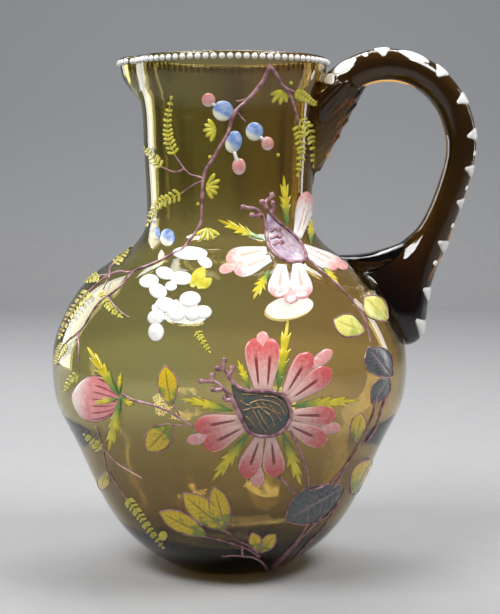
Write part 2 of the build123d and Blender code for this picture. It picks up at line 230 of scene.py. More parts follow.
class Finish:
    """A material with its nodes, built up a wire at a time."""

    def __init__(self, name, **plain):
        self.material = bpy.data.materials.new(name)
        self.material.use_nodes = True
        self.tree = self.material.node_tree
        self.shader = self.tree.nodes["Principled BSDF"]
        for socket, value in plain.items():
            self.shader.inputs[socket.replace("_", " ")].default_value = value

    def node(self, kind, settings=None, inputs=None, output=0):
        """Add any node: its settings first, then the values or wires of its sockets."""
        node = self.tree.nodes.new(kind)
        for name, value in (settings or {}).items():
            setattr(node, name, value)
        for socket, value in (inputs or {}).items():
            self.plug(node.inputs[socket], value)
        return Wire(self, node.outputs[output])

    def plug(self, socket, value):
        if isinstance(value, Wire):
            self.tree.links.new(value.socket, socket)
        else:
            socket.default_value = value

    def set(self, socket, value):
        self.plug(self.shader.inputs[socket], value)

    def mix(self, factor, first, second):
        """Colours blended by a factor, through the Mix node's colour sockets."""
        inputs = {MIX_FACTOR: factor, MIX_FIRST: first, MIX_SECOND: second}
        return self.node("ShaderNodeMix", {"data_type": "RGBA"}, inputs, MIX_RESULT)

    def place(self):
        return self.node("ShaderNodeTexCoord", output="Object")

    def share(self, name):
        """A number stored on the mesh: across runs from -1 to 1 and along from 0 to 1."""
        return self.node("ShaderNodeAttribute", {"attribute_name": name}, output="Fac")

    def sides(self):
        """The object coordinates as three wires, in metres."""
        split = self.tree.nodes.new("ShaderNodeSeparateXYZ")
        self.plug(split.inputs[0], self.place())
        return [Wire(self, socket) for socket in split.outputs]

    def noise(self, scale, detail=3.0, stretch=(1, 1, 1)):
        """A cloudy value from 0 to 1; a small stretch draws the clouds out along that axis."""
        inputs = {0: self.place(), 1: stretch}
        spot = self.node("ShaderNodeVectorMath", {"operation": "MULTIPLY"}, inputs)
        inputs = {"Vector": spot, "Scale": scale, "Detail": detail}
        return self.node("ShaderNodeTexNoise", {}, inputs, "Fac")

    def bump(self, height, distance, strength=1.0):
        inputs = {"Height": height, "Distance": distance, "Strength": strength}
        self.set("Normal", self.node("ShaderNodeBump", {}, inputs))


def colour(red, green, blue):
    return (red, green, blue, 1.0)


print("finishes ready")

# %% [markdown]
# ## The glass body
#
# Blown glass is a smooth wall of revolution, so the body is thrown like a pot: a circle is extruded
# ring by ring up the outside, over the fire-polished rim and down the inside. The radii are felt
# out of the frame with rays, so that the wall stays where the frame has it.

# %% Feel the wall of the frame
frame_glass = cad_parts["glass_body"].data
frame_wall = BVHTree.FromPolygons(
    [vertex.co for vertex in frame_glass.vertices],
    [tuple(face.vertices) for face in frame_glass.polygons],
)
RIM_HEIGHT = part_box("glass_body")[1].z
WALL_TOP = RIM_HEIGHT - 2 * MM
FAR = 0.5
FEELING_TURNS = [radians(turn) for turn in range(-60, 130, 7)]
FLAT_FOOT = 24 * MM
BASE_REACH = 50 * MM


def outward(turn):
    """Direction away from the axis; a turn of 0 faces the front and grows towards the handle."""
    return Vector((sin(turn), -cos(turn), 0))


def feel_outside(turn, height):
    hit = frame_wall.ray_cast(outward(turn) * FAR + Vector((0, 0, height)), -outward(turn))[0]
    return hypot(hit.x, hit.y)


def feel_inside(turn, height):
    hit = frame_wall.ray_cast(Vector((0, 0, height)), outward(turn))[0]
    return hypot(hit.x, hit.y)


def feel_floor(radius, start, direction):
    """The mean height of the base at a radius, felt up or down from a start."""
    starts = [outward(turn) * radius + Vector((0, 0, start)) for turn in FEELING_TURNS]
    hits = [frame_wall.ray_cast(spot, direction)[0] for spot in starts]
    return sum(hit.z for hit in hits) / len(hits)


def round_radius(feel, height):
    return max(feel(turn, height) for turn in FEELING_TURNS)


print("rim height in mm:", round(RIM_HEIGHT / MM, 1))

# %% [markdown]
# ## Rings of the wall
#
# The wall is described by two runs of rings, each ring a radius and a height. One run goes up the
# outside from the foot, the other up the inside from the floor of the jug. The frame is made of
# flat facets, so each run is eased a little.

# %% Measure the rings
def eased(rings, passes=2):
    """Take the faceting of the frame out of a run of (radius, height)."""
    for _ in range(passes):
        inner = [
            tuple((a + 2 * b + c) / 4 for a, b, c in zip(before, here, after))
            for before, here, after in zip(rings, rings[1:], rings[2:])
        ]
        rings = [rings[0]] + inner + [rings[-1]]
    return rings


def spread(start, end, count):
    return [start + (end - start) * index / (count - 1) for index in range(count)]


UP, DOWN = Vector((0, 0, 1)), Vector((0, 0, -1))
BELLY_HEIGHT = 100 * MM
base_radii = spread(FLAT_FOOT, BASE_REACH, 12)
outer_rings = [(radius, feel_floor(radius, -FAR, UP)) for radius in base_radii]
outer_rings[0] = (FLAT_FOOT, 0.0)
for height in spread(outer_rings[-1][1], WALL_TOP, 74)[1:]:
    outer_rings.append((round_radius(feel_outside, height), height))

floor_radii = spread(3 * MM, 0.9 * BASE_REACH, 12)
inner_rings = [(radius, feel_floor(radius, BELLY_HEIGHT, DOWN)) for radius in floor_radii]
for height in spread(inner_rings[-1][1], WALL_TOP, 70)[1:]:
    inner_rings.append((round_radius(feel_inside, height), height))

outer_rings, inner_rings = eased(outer_rings), eased(inner_rings)
print(len(outer_rings), "outer rings,", len(inner_rings), "inner rings")

# %% [markdown]
# ## Throwing the wall
#
# The rings are stacked by extruding and resizing one circle. The rim is a half round between the
# outer and the inner wall, because a blown rim is melted smooth at the fire. A nearly closed ring
# at each end leaves two small holes on the axis, and these are filled at the end.

# %% Throw the body
SEGMENTS = 160
POLE = 0.5 * MM


def throw(name, rings, segments):
    """A wall pulled up ring by ring from a circle, each ring a (radius, height)."""
    deselect()
    radius, height = rings[0]
    bpy.ops.mesh.primitive_circle_add(vertices=segments, radius=radius, location=(0, 0, height))
    wall = bpy.context.active_object
    bpy.ops.object.mode_set(mode="EDIT")
    bpy.ops.mesh.select_all(action="SELECT")
    for (before, low), (after, high) in zip(rings, rings[1:]):
        bpy.ops.mesh.extrude_region_move(TRANSFORM_OT_translate={"value": (0, 0, high - low)})
        ratio = after / before
        bpy.ops.transform.resize(value=(ratio, ratio, 1), center_override=(0, 0, high))
    bpy.ops.object.mode_set(mode="OBJECT")
    wall.name = wall.data.name = name
    bpy.ops.object.transform_apply(location=True, rotation=True, scale=True)
    return wall


lip_outer, lip_inner = outer_rings[-1][0], inner_rings[-1][0]
lip_middle, lip_half = (lip_outer + lip_inner) / 2, (lip_outer - lip_inner) / 2
lip_low = RIM_HEIGHT - lip_half
rim_rings = [
    (lip_middle + lip_half * cos(radians(turn)), lip_low + lip_half * sin(radians(turn)))
    for turn in range(0, 181, 15)
]
outer_pole, inner_pole = (POLE, 0.0), (POLE, inner_rings[0][1])
wall_rings = [outer_pole] + outer_rings + rim_rings + inner_rings[::-1] + [inner_pole]
body = throw("jug_body", wall_rings, SEGMENTS)
print("rings thrown:", len(wall_rings))

# %% [markdown]
# ## Pinching the spout
#
# The spout was pinched out while the rim was soft. Each vertex near it is felt once more at its own
# turn, and pushed out as far as the frame stands out past its round wall. A little smoothing takes
# away the steps.

# %% Pinch the spout
SPOUT_START = 214 * MM
SPOUT_TURN, SPOUT_HALF_ANGLE = radians(-90), radians(75)
first_inner = (1 + len(outer_rings) + len(rim_rings) // 2) * SEGMENTS
spout_vertices = []
for vertex in body.data.vertices:
    if vertex.co.z < SPOUT_START or hypot(vertex.co.x, vertex.co.y) < lip_inner / 2:
        continue
    turn = atan2(vertex.co.x, -vertex.co.y)
    from_spout = abs((turn - SPOUT_TURN + pi) % (2 * pi) - pi)
    if from_spout > SPOUT_HALF_ANGLE:
        continue
    feel = feel_inside if vertex.index >= first_inner else feel_outside
    height = min(vertex.co.z, WALL_TOP)
    vertex.co += outward(turn) * max(feel(turn, height) - round_radius(feel, height), 0.0)
    spout_vertices.append(vertex.index)

body.vertex_groups.new(name="spout").add(spout_vertices, 1.0, "REPLACE")
apply_modifier(body, "SMOOTH", vertex_group="spout", factor=0.5, iterations=3)
bpy.ops.object.mode_set(mode="EDIT")
bpy.ops.mesh.select_all(action="DESELECT")
bpy.ops.mesh.select_non_manifold()
bpy.ops.mesh.edge_face_add()
bpy.ops.object.mode_set(mode="OBJECT")
clean(body)
print("spout vertices:", len(spout_vertices), "faces:", len(body.data.polygons))

# %% [markdown]
# ## Amber glass
#
# Coloured glass takes its colour from its thickness, so the edges of the jug go nearly black while
# the belly stays pale. A volume that swallows blue first does that. The neck was blown out less
# than the belly, so it is darker, and the melt is greener to the left and browner to the right. The
# colour of the surface gives those slow changes. Dark streaks drawn out down the neck are a painted
# reflection of the dark room in the round glass.

# %% Amber glass
def amber_glass(name, absorb, density):
    """Clear glass over a volume that swallows blue first."""
    glass = Finish(name, Transmission_Weight=1.0, Roughness=0.0, IOR=1.5)
    volume = glass.tree.nodes.new("ShaderNodeVolumeAbsorption")
    volume.inputs["Color"].default_value = absorb
    volume.inputs["Density"].default_value = density
    output = glass.tree.nodes["Material Output"]
    glass.tree.links.new(volume.outputs["Volume"], output.inputs["Volume"])
    return glass


BODY_TINT, BODY_DENSITY = colour(0.77, 0.68, 0.24), 195.0
NECK_GREEN, NECK_BROWN = colour(0.66, 0.63, 0.34), colour(0.68, 0.52, 0.27)
BELLY_GREEN, BELLY_KHAKI = colour(0.92, 0.94, 0.74), colour(1.0, 0.86, 0.64)
# The second colour on the next line is a painted reflection: the dark room seen as streaks in the
# neck.
FOOT_BROWN, PAINTED_NECK_REFLECTION = colour(0.46, 0.37, 0.20), colour(0.30, 0.25, 0.13)
GREEN_SIDE, BROWN_SIDE = -45 * MM, 50 * MM
BELLY_LOW, FOOT_TOP = 118 * MM, 45 * MM
SHOULDER, NECK_FOOT = 150 * MM, 192 * MM
REFLECTION_STREAK_STRETCH = (1, 1, 0.07)
RIPPLE_DEPTH = 0.35 * MM

body_glass = amber_glass("body_glass", BODY_TINT, BODY_DENSITY)
glass_x, _, glass_z = body_glass.sides()
streaks = body_glass.noise(14.0, 2.0)
browner = (glass_x + (streaks - 0.5) * 0.09).step(GREEN_SIDE, BROWN_SIDE)
neck_colour = body_glass.mix(browner, NECK_GREEN, NECK_BROWN)
belly_colour = body_glass.mix(browner, BELLY_GREEN, BELLY_KHAKI)
to_foot = (glass_z + streaks * 0.03).step(BELLY_LOW, FOOT_TOP)
low_colour = body_glass.mix(to_foot, belly_colour, FOOT_BROWN)
# Painted reflection: long dark streaks down the neck stand in for the dark room reflected in the
# round glass.
painted_reflection_streaks = body_glass.noise(85.0, 2.0, REFLECTION_STREAK_STRETCH).step(0.50, 0.66)
neck_colour = body_glass.mix(painted_reflection_streaks * 0.6, neck_colour, PAINTED_NECK_REFLECTION)
to_neck = (glass_z + streaks * 0.012).step(SHOULDER, NECK_FOOT)
body_glass.set("Base Color", body_glass.mix(to_neck, low_colour, neck_colour))
body_glass.bump(body_glass.noise(38.0, 1.0), RIPPLE_DEPTH, 0.5)
finish_piece(body, body_glass.material, "amber_glass", "glass_body")

# %% [markdown]
# ## Seats on the glass
#
# Enamel was laid on the glass by hand, so its places are read off the photograph in pixels. A line
# of sight through a pixel meets the glass in one place, and there the enamel is seated. The piece
# then sits right from every side. A pixel just past the outline slides back to the edge of the
# glass.

# %% Lines of sight
AXIS_PX = 229.5
SLIDE_PX, SLIDES = 0.5, 60
FRONT_HALF = 20 * MM


def surface_of(piece):
    return BVHTree.FromPolygons(
        [vertex.co for vertex in piece.data.vertices],
        [tuple(face.vertices) for face in piece.data.polygons],
    )


def sight_line(across_px, down_px):
    """The direction from the eye through a pixel of the photograph."""
    right = (across_px - PHOTO_WIDTH / 2) / FOCAL_PX
    up = (PHOTO_HEIGHT / 2 - down_px) / FOCAL_PX
    away, rise = cos(EYE_TILT) + up * sin(EYE_TILT), -sin(EYE_TILT) + up * cos(EYE_TILT)
    return Vector((right, away, rise)).normalized()


glass_surface = surface_of(body)


def seat(across_px, down_px, lift=0.0):
    """The point of the glass that shows at a pixel, raised by lift square to the glass."""
    slide = SLIDE_PX if across_px < AXIS_PX else -SLIDE_PX
    for _ in range(SLIDES):
        point, normal = glass_surface.ray_cast(EYE, sight_line(across_px, down_px))[:2]
        if point and point.y < FRONT_HALF:
            return point + normal * lift
        across_px += slide
    raise ValueError(f"no glass at pixel {across_px}, {down_px}")


print("a seat on the belly in mm:", [round(value / MM, 1) for value in seat(264, 411)])

# %% [markdown]
# ## Three kinds of deposit
#
# The painter made everything with three strokes. A pad is a pool of enamel pulled out along a line,
# such as a petal or a leaf. A cord is a thin raised line, such as a stem. A drop is a round blob,
# such as a berry. Each kind is modelled once as a flat blank, and each copy is then laid on the
# glass. A blank is thin and closed, and its underside goes a little into the glass, as fired enamel
# does. The numbers across and along are kept on the mesh, so that colours can follow the stroke.

# %% Blanks
def make_pad_blank(across, along):
    """A thin closed plate from -1 to 1 across and from 0 to 1 along."""
    deselect()
    bpy.ops.mesh.primitive_grid_add(
        x_subdivisions=across, y_subdivisions=along, size=2, location=(0, 0, 0)
    )
    blank = bpy.context.active_object
    apply_modifier(blank, "SOLIDIFY", thickness=1.0, offset=-1.0)
    blank.name = f"pad_blank_{across}_{along}"
    return blank


def make_drop_blank(segments, rings):
    deselect()
    bpy.ops.mesh.primitive_uv_sphere_add(
        segments=segments, ring_count=rings, radius=1, location=(0, 0, 0)
    )
    blank = bpy.context.active_object
    blank.name = f"drop_blank_{segments}"
    return blank


fine_pad = make_pad_blank(14, 26)
plain_pad = make_pad_blank(8, 14)
leaflet_pad = make_pad_blank(4, 6)
thorn_pad = make_pad_blank(8, 44)
drop_blank = make_drop_blank(20, 12)
seed_blank = make_drop_blank(8, 6)
blanks = [fine_pad, plain_pad, leaflet_pad, thorn_pad, drop_blank, seed_blank]
print(len(blanks), "blanks")

# %% [markdown]
# ## Laying a blank on the glass
#
# A blank is laid by asking, for each of its vertices, which pixel it covers and how high it stands
# there. Its underside is sunk a little. Its top is a dome that falls to the edges, as a pool of wet
# enamel does. The rows of a blank are drawn closer together at its ends, where the shape turns
# most.

# %% Lay and dome
SUNK = -0.12 * MM


def lay(blank, name, placing):
    """Copy a blank; placing turns a vertex into (pixel x, pixel y, lift, across, along)."""
    piece = own_copy(blank, name)
    across = piece.data.attributes.new("across", "FLOAT", "POINT")
    along = piece.data.attributes.new("along", "FLOAT", "POINT")
    for vertex in piece.data.vertices:
        pixel_x, pixel_y, lift, cross_share, long_share = placing(vertex.co)
        across.data[vertex.index].value = cross_share
        along.data[vertex.index].value = long_share
        vertex.co = seat(pixel_x, pixel_y, lift)
    return piece


def closer_at_ends(share):
    return 0.5 - 0.5 * cos(pi * share)


def domed(co, share, height, fullness=1.0):
    """How far a pad's vertex stands off the glass."""
    if co.z < -0.5:
        return SUNK
    edge = max(1 - co.x**4, 0.0) * max(1 - (2 * share - 1) ** 6, 0.0)
    return SUNK + (height - SUNK) * sqrt(edge) * fullness


print("a pad's middle stands", round(domed(Vector((0, 0, 0)), 0.5, 0.6 * MM) / MM, 2), "mm proud")

# %% [markdown]
# ## Pads
#
# A stroke is a pad as wide as its profile says: a list of shares of the length, each with a share
# of the width. Teeth make it a thistle leaf, and a flute makes its middle a little hollow, as a
# brush leaves it.

# %% Strokes
NOTCH, TOOTH_LEAN = 0.30, 0.8
THINNEST = 0.02


def slope(points, index):
    before, after = points[max(index - 1, 0)], points[min(index + 1, len(points) - 1)]
    return (after[1] - before[1]) / (after[0] - before[0])


def between(points, share):
    """A value read off a smooth run of (share, value) points."""
    index = 0
    while index < len(points) - 2 and share > points[index + 1][0]:
        index += 1
    (low, first), (high, last) = points[index : index + 2]
    gap = high - low
    part = (share - low) / gap
    rest = 1 - part
    start = (1 + 2 * part) * first + part * gap * slope(points, index)
    end = (1 + 2 * rest) * last - rest * gap * slope(points, index + 1)
    return max(rest**2 * start + part**2 * end, THINNEST)


def stroke(blank, name, base, tip, width, profile, height, round_tip=0.0, flute=0.0, teeth=0):
    """A pad from base to tip; these and the width are in pixels, the height in metres."""
    base, tip = Vector(base), Vector(tip)
    run = tip - base
    side = Vector((run.y, -run.x)).normalized()

    def placing(co):
        across, share = co.x, closer_at_ends((co.y + 1) / 2)
        half = width / 2 * between(profile, share)
        lean = 0.0
        if teeth:
            saw = (share * teeth) % 1.0
            half *= NOTCH + (1 - NOTCH) * saw
            lean = TOOTH_LEAN * abs(across) * saw / teeth
        forward = share - round_tip * across * across * share + lean
        spot = base + run * forward + side * (across * half)
        hollow = flute * (0.5 + 0.5 * cos(3 * pi * across))
        return spot.x, spot.y, domed(co, share, height, 1 - hollow), across, share

    return lay(blank, name, placing)


PETAL_LIKE = [(0, 0.4), (0.8, 1.0), (1.0, 0.6)]
print("a petal's width half way:", round(between(PETAL_LIKE, 0.5), 2))

# %% [markdown]
# ## Sheets
#
# A shape with two unlike edges is a sheet: each edge is a smooth run through a few pixels, and the
# rows of the pad are stretched from one edge to the other.

# %% Sheets
def through(points, steps=5):
    """A smooth run through a few points."""
    points = [Vector(point) for point in points]
    padded = [2 * points[0] - points[1]] + points + [2 * points[-1] - points[-2]]
    run = []
    for a, b, c, d in zip(padded, padded[1:], padded[2:], padded[3:]):
        for step in range(steps):
            t = step / steps
            bend = (2 * a - 5 * b + 4 * c - d) * t**2 + (3 * b - a - 3 * c + d) * t**3
            run.append(0.5 * (2 * b + (c - a) * t + bend))
    return run + [points[-1]]


def read_run(run, share):
    """The point at a share of the way along a run."""
    position = share * (len(run) - 1)
    index = min(int(position), len(run) - 2)
    return run[index].lerp(run[index + 1], position - index)


def sheet(blank, name, first_edge, second_edge, height):
    """A domed pad that fills the space between two edges."""
    first_run, second_run = through(first_edge, 8), through(second_edge, 8)

    def placing(co):
        across, share = co.x, closer_at_ends((co.y + 1) / 2)
        spot = read_run(first_run, share).lerp(read_run(second_run, share), (across + 1) / 2)
        return spot.x, spot.y, domed(co, share, height), across, share

    return lay(blank, name, placing)


print("points in a run through three:", len(through([(0, 0), (1, 1), (2, 0)])))

# %% [markdown]
# ## Drops and cords
#
# A drop is half a ball, flattened on the glass. A cord follows a smooth run through a few pixels as
# a tube that thins to its end. The enamel was dribbled from a fine brush, so the tube swells and
# shrinks a little along its way.

# %% Drops and cords
CORD_SEAT = 0.25
UNEVEN, UNEVEN_SCALE, KNOT_SCALE = 0.12, 900, 260


def drop(blank, name, centre, width, length, height, turn=0.0):
    """A round blob, turned clockwise by turn degrees in the picture."""
    angle = radians(turn)

    def placing(co):
        x, y = co.x * width / 2, -co.y * length / 2
        spot_x = centre[0] + x * cos(angle) - y * sin(angle)
        spot_y = centre[1] + x * sin(angle) + y * cos(angle)
        return spot_x, spot_y, SUNK + max(co.z, 0) * (height - SUNK), co.x, (1 + co.y) / 2

    return lay(blank, name, placing)


def tube(name, places, radii, smoothness):
    """A round bar through places, each with its own radius, as a mesh."""
    data = bpy.data.curves.new(name, "CURVE")
    data.dimensions = "3D"
    data.bevel_depth = 1.0
    data.bevel_resolution = smoothness
    data.use_fill_caps = True
    spline = data.splines.new("POLY")
    spline.points.add(len(places) - 1)
    for point, place, radius in zip(spline.points, places, radii):
        point.co = (*place, 1)
        point.radius = radius
    select(put_in_scene(name, data))
    bpy.ops.object.convert(target="MESH")
    return bpy.context.active_object


def cord(name, points, radius, end_radius=None, knots=0.0):
    """A raised line of enamel through pixels, thinning to its end and a little uneven."""
    run = through(points)
    end_radius = radius if end_radius is None else end_radius
    places, radii = [], []
    for index, spot in enumerate(run):
        share = index / (len(run) - 1)
        place = seat(spot.x, spot.y, CORD_SEAT * radius)
        wobble = UNEVEN * noise(place * UNEVEN_SCALE)
        swell = 1 + wobble + knots * max(noise(place * KNOT_SCALE), 0)
        places.append(place)
        radii.append((radius + (end_radius - radius) * share) * swell)
    line = tube(name, places, radii, 2)
    for label in ("across", "along"):
        line.data.attributes.new(label, "FLOAT", "POINT")
    return line


print("drops and cords ready")

# %% [markdown]
# ## Enamel colours
#
# The enamel is glossy, a little uneven in tone and slightly wavy. Its colours run into each other
# along a stroke: a petal pales towards its root and has a dark slit, and a sepal goes from green to
# yellow.

# %% Enamel
ENAMEL_ROUGHNESS, ROUGHNESS_SWING = 0.28, 0.2
BRUSH_MARKS, BRUSH_DEPTH = 1400.0, 0.15 * MM


def enamel(name, pale, deep, mottle=420.0):
    """A fired colour that wanders between a pale and a deep tone."""
    coat = Finish(name, Coat_Weight=0.35, Coat_Roughness=0.12, IOR=1.5)
    wander = coat.noise(mottle, 4.0)
    coat.tone = coat.mix(wander.step(0.35, 0.65), pale, deep)
    coat.set("Base Color", coat.tone)
    coat.set("Roughness", wander * ROUGHNESS_SWING + ENAMEL_ROUGHNESS - ROUGHNESS_SWING / 2)
    coat.bump(coat.noise(BRUSH_MARKS) + wander, BRUSH_DEPTH, 0.35)
    return coat


def lighten(coat, where, tone):
    """Bring another tone into an enamel where a wire says."""
    coat.set("Base Color", coat.mix(where, coat.tone, tone))


white_enamel = enamel("white_enamel", colour(0.86, 0.85, 0.82), colour(0.72, 0.70, 0.66))
plum_enamel = enamel("plum_enamel", colour(0.50, 0.27, 0.29), colour(0.17, 0.06, 0.09), 380.0)
gold_enamel = enamel("gilding", colour(0.55, 0.38, 0.16), colour(0.30, 0.17, 0.08), 700.0)
fern_enamel = enamel("fern_enamel", colour(0.72, 0.62, 0.05), colour(0.46, 0.44, 0.04))
slate_enamel = enamel("slate_enamel", colour(0.05, 0.09, 0.085), colour(0.12, 0.10, 0.07), 240.0)
lilac_enamel = enamel("lilac_enamel", colour(0.62, 0.52, 0.60), colour(0.36, 0.24, 0.36), 320.0)

sepal_enamel = enamel("sepal_enamel", colour(0.85, 0.70, 0.04), colour(0.62, 0.50, 0.02), 260.0)
lighten(sepal_enamel, sepal_enamel.share("along").step(0.60, 0.10), colour(0.12, 0.26, 0.06))

blue_enamel = enamel("blue_enamel", colour(0.16, 0.27, 0.55), colour(0.36, 0.46, 0.68))
# Painted highlight: each blue berry is painted pale on its underside, for light coming through the
# drop.
painted_underside_highlight = blue_enamel.share("along") + blue_enamel.share("across") * 0.28
lighten(blue_enamel, painted_underside_highlight.step(0.45, 0.15), colour(0.80, 0.80, 0.62))

pink_enamel = enamel("berry_enamel", colour(0.72, 0.38, 0.34), colour(0.58, 0.22, 0.22))
# Painted highlight: each pink berry is painted pale on its underside, for light coming through the
# drop.
lighten(pink_enamel, pink_enamel.share("along").step(0.35, 0.05), colour(0.85, 0.70, 0.62))
print("plain and shaded enamels mixed")

# %% [markdown]
# ## Petal colours
#
# A petal was loaded with two colours on one brush, so its deep tip fades into a pale root and pale
# edges, in streaks. A dark slit up the middle was added last. The bud has three such slits.

# %% Petal enamels
def petal_enamel(name, tip, root, slit, edge, blush_start):
    """Deep at the tip, pale at the root and the edges, with a dark slit up the middle."""
    petals = enamel(name, tip, tip, 500.0)
    along, across = petals.share("along"), petals.share("across")
    streak = petals.noise(700.0)
    blush = (along + (streak - 0.5) * 0.6).step(blush_start, 0.95)
    tone = petals.mix(blush, root, tip)
    rim = (across.size() + (streak - 0.5) * 0.2).step(0.70, 0.98)
    tone = petals.mix(rim * 0.75, tone, edge)
    thin = (across.size() + (streak - 0.5) * 0.05).step(0.20, 0.10)
    slit_length = along.step(0.06, 0.20) * along.step(0.72, 0.58)
    petals.set("Base Color", petals.mix(thin * slit_length * 0.92, tone, slit))
    return petals


ROSE, PALE_ROSE = colour(0.68, 0.12, 0.12), colour(0.84, 0.36, 0.34)
DARK_SLIT, BROWN_SLIT = colour(0.22, 0.02, 0.02), colour(0.70, 0.42, 0.30)
PINK_ROOT, PINK_EDGE = colour(0.88, 0.56, 0.50), colour(0.93, 0.62, 0.58)
WHITE_ROOT, WHITE_EDGE = colour(0.95, 0.92, 0.88), colour(0.96, 0.90, 0.87)
rose_petals = petal_enamel("rose_petals", ROSE, PINK_ROOT, DARK_SLIT, PINK_EDGE, 0.15)
pale_petals = petal_enamel("pale_petals", PALE_ROSE, WHITE_ROOT, BROWN_SLIT, WHITE_EDGE, 0.55)

BUD_STRIPES = 3.5
bud_enamel = enamel("bud_enamel", colour(0.86, 0.36, 0.34), colour(0.78, 0.24, 0.24), 300.0)
bud_along, bud_across = bud_enamel.share("along"), bud_enamel.share("across")
bud_light = (bud_along + bud_enamel.noise(400.0) * 0.3).step(0.75, 1.05)
bud_tone = bud_enamel.mix(bud_light, bud_enamel.tone, colour(0.93, 0.72, 0.68))
stripe = (bud_across * BUD_STRIPES + 0.5).fraction() - 0.5
stripe_length = bud_along.step(0.05, 0.12) * bud_along.step(0.62, 0.45)
stripe = stripe.size().step(0.16, 0.08) * stripe_length
bud_enamel.set("Base Color", bud_enamel.mix(stripe * 0.85, bud_tone, DARK_SLIT))
print("petal enamels mixed")

# %% [markdown]
# ## Leaf colours
#
# A leaf is light with a shaded part towards its root. Its midrib and side veins were scratched in
# with a fine brush. The side veins are rows across the leaf, bent forward away from the midrib.

# %% Leaf enamels
VEIN_ROWS, VEIN_BEND = 9.0, 1.6


def leaf_enamel(name, light, shade, vein):
    """A leaf with a dark midrib and side veins that lean to the tip."""
    leaf = enamel(name, light, light, 300.0)
    along, across = leaf.share("along"), leaf.share("across")
    patch = leaf.noise(260.0, 2.0)
    tone = leaf.mix((patch + (0.5 - along) * 0.6).step(0.48, 0.76), light, shade)
    midrib = across.size().step(0.10, 0.03) * along.step(0.95, 0.8)
    rows = (along * VEIN_ROWS - across.size() * VEIN_BEND).fraction()
    side_veins = (rows - 0.5).size().step(0.12, 0.04) * across.size().step(0.9, 0.6)
    leaf.set("Base Color", leaf.mix(midrib.or_larger(side_veins * 0.55), tone, vein))
    return leaf


YELLOW, OLIVE, OCHRE = colour(0.78, 0.55, 0.02), colour(0.20, 0.29, 0.03), colour(0.26, 0.19, 0.02)
LEMON, LIME, MUSTARD = colour(0.88, 0.82, 0.22), colour(0.55, 0.60, 0.12), colour(0.60, 0.52, 0.12)
SLATE, INK, MAUVE = colour(0.085, 0.11, 0.105), colour(0.035, 0.045, 0.05), colour(0.30, 0.20, 0.24)
yellow_leaf = leaf_enamel("yellow_leaf", YELLOW, OLIVE, OCHRE)
lemon_leaf = leaf_enamel("lemon_leaf", LEMON, LIME, MUSTARD)
dark_leaf = leaf_enamel("dark_leaf", SLATE, INK, MAUVE)
print("leaf enamels mixed")

# %% [markdown]
# ## The branch down the neck
#
# One long plum-coloured branch comes down from under the rim, forks and ends in a knot on the left
# shoulder. It thins towards its end, and small knots show where one brush stroke follows another.

# %% Neck branch
BOUGH, STEM, TWIG = 0.82 * MM, 0.62 * MM, 0.42 * MM
THINNING, KNOTS = 0.7, 0.7
NECK_STEMS_PX = [
    [(270, 64), (262, 82), (250, 97), (236, 111), (231, 122), (228, 133), (222, 143), (214, 157),
     (206, 170), (203, 182), (202.5, 196), (202, 212), (201, 223), (196, 232), (190, 240),
     (182, 250), (175, 253), (162, 260), (150, 265), (137, 270), (131, 273)],
    [(269, 66), (274, 71), (279, 80), (284, 87), (294, 92)],
    [(284, 87), (290, 97), (294, 108), (298, 124)],
]
NECK_TWIGS_PX = [
    [(238, 113), (242, 118), (246, 122)],
    [(203, 178), (196, 176), (190, 174), (184, 168), (179, 161), (175, 155)],
    [(184, 169), (175, 172), (162, 167)],
    [(202, 181), (193, 185), (182, 193)],
    [(250, 97), (243, 100), (236, 101)],
    [(228, 133), (231, 139), (233, 146)],
]


def branches(name, node, *bundles):
    """Several bundles of lines, each with its radius, as one piece."""
    lines = []
    for radius, paths in bundles:
        for number, path in enumerate(paths):
            lines.append(cord(f"{name}_{number}", path, radius, radius * THINNING, KNOTS))
    return finish_piece(join(name, lines), plum_enamel.material, "plum_enamel", node)


branches("neck_branch_lines", "neck_branch", (BOUGH, NECK_STEMS_PX), (TWIG, NECK_TWIGS_PX))

# %% [markdown]
# ## The other branches
#
# From the knot on the shoulder two stems run down the left side. More stems tie the bud, the leaves
# and the two flowers together, and all of them meet in a bunch at the foot.

# %% Branches on the shoulder and round the flowers
SHOULDER_STEMS_PX = [
    [(131, 273), (120, 272), (110, 275), (101, 281), (93, 288), (85, 295), (72, 312), (60, 334)],
    [(133, 272), (121, 286), (110, 295), (100, 302), (92, 313), (85, 325), (78, 333), (70, 339),
     (64, 345)],
]
SHOULDER_TWIGS_PX = [
    [(110, 275), (110, 268), (117, 259)],
    [(110, 275), (103, 275), (94, 277)],
    [(110, 275), (106, 283), (103, 290)],
    [(104, 291), (112, 303), (121, 312), (130, 318)],
    [(78, 333), (79, 343), (79, 352), (80, 373)],
    [(64, 345), (60, 352), (58, 364)],
]
FLOWER_STEMS_PX = [
    [(123, 394), (134, 400), (153, 405), (170, 412), (181, 419), (194, 427)],
    [(307, 258), (320, 270), (335, 283), (346, 294), (355, 305), (363, 317), (367, 328),
     (370, 342)],
    [(290, 430), (296, 442), (300, 450), (304, 462), (307, 474), (308, 488)],
    [(279, 476), (287, 485), (295, 494)],
]
LEAF_TWIGS_PX = [
    [(172, 405), (176, 409), (180, 416)],
    [(171, 425), (178, 425), (186, 426)],
    [(97, 426), (100, 437), (103, 447), (111, 457), (120, 465), (142, 478)],
    [(103, 448), (105, 459), (107, 470)],
    [(109, 472), (115, 482), (122, 492), (128, 501)],
]
LOWER_STEMS_PX = [
    [(376, 398), (373, 412), (368, 425), (362, 438), (355, 450), (345, 466), (330, 482), (318, 488),
     (308, 490)],
    [(385, 396), (380, 412), (375, 428), (366, 442)],
    [(345, 466), (340, 476), (334, 487)],
]
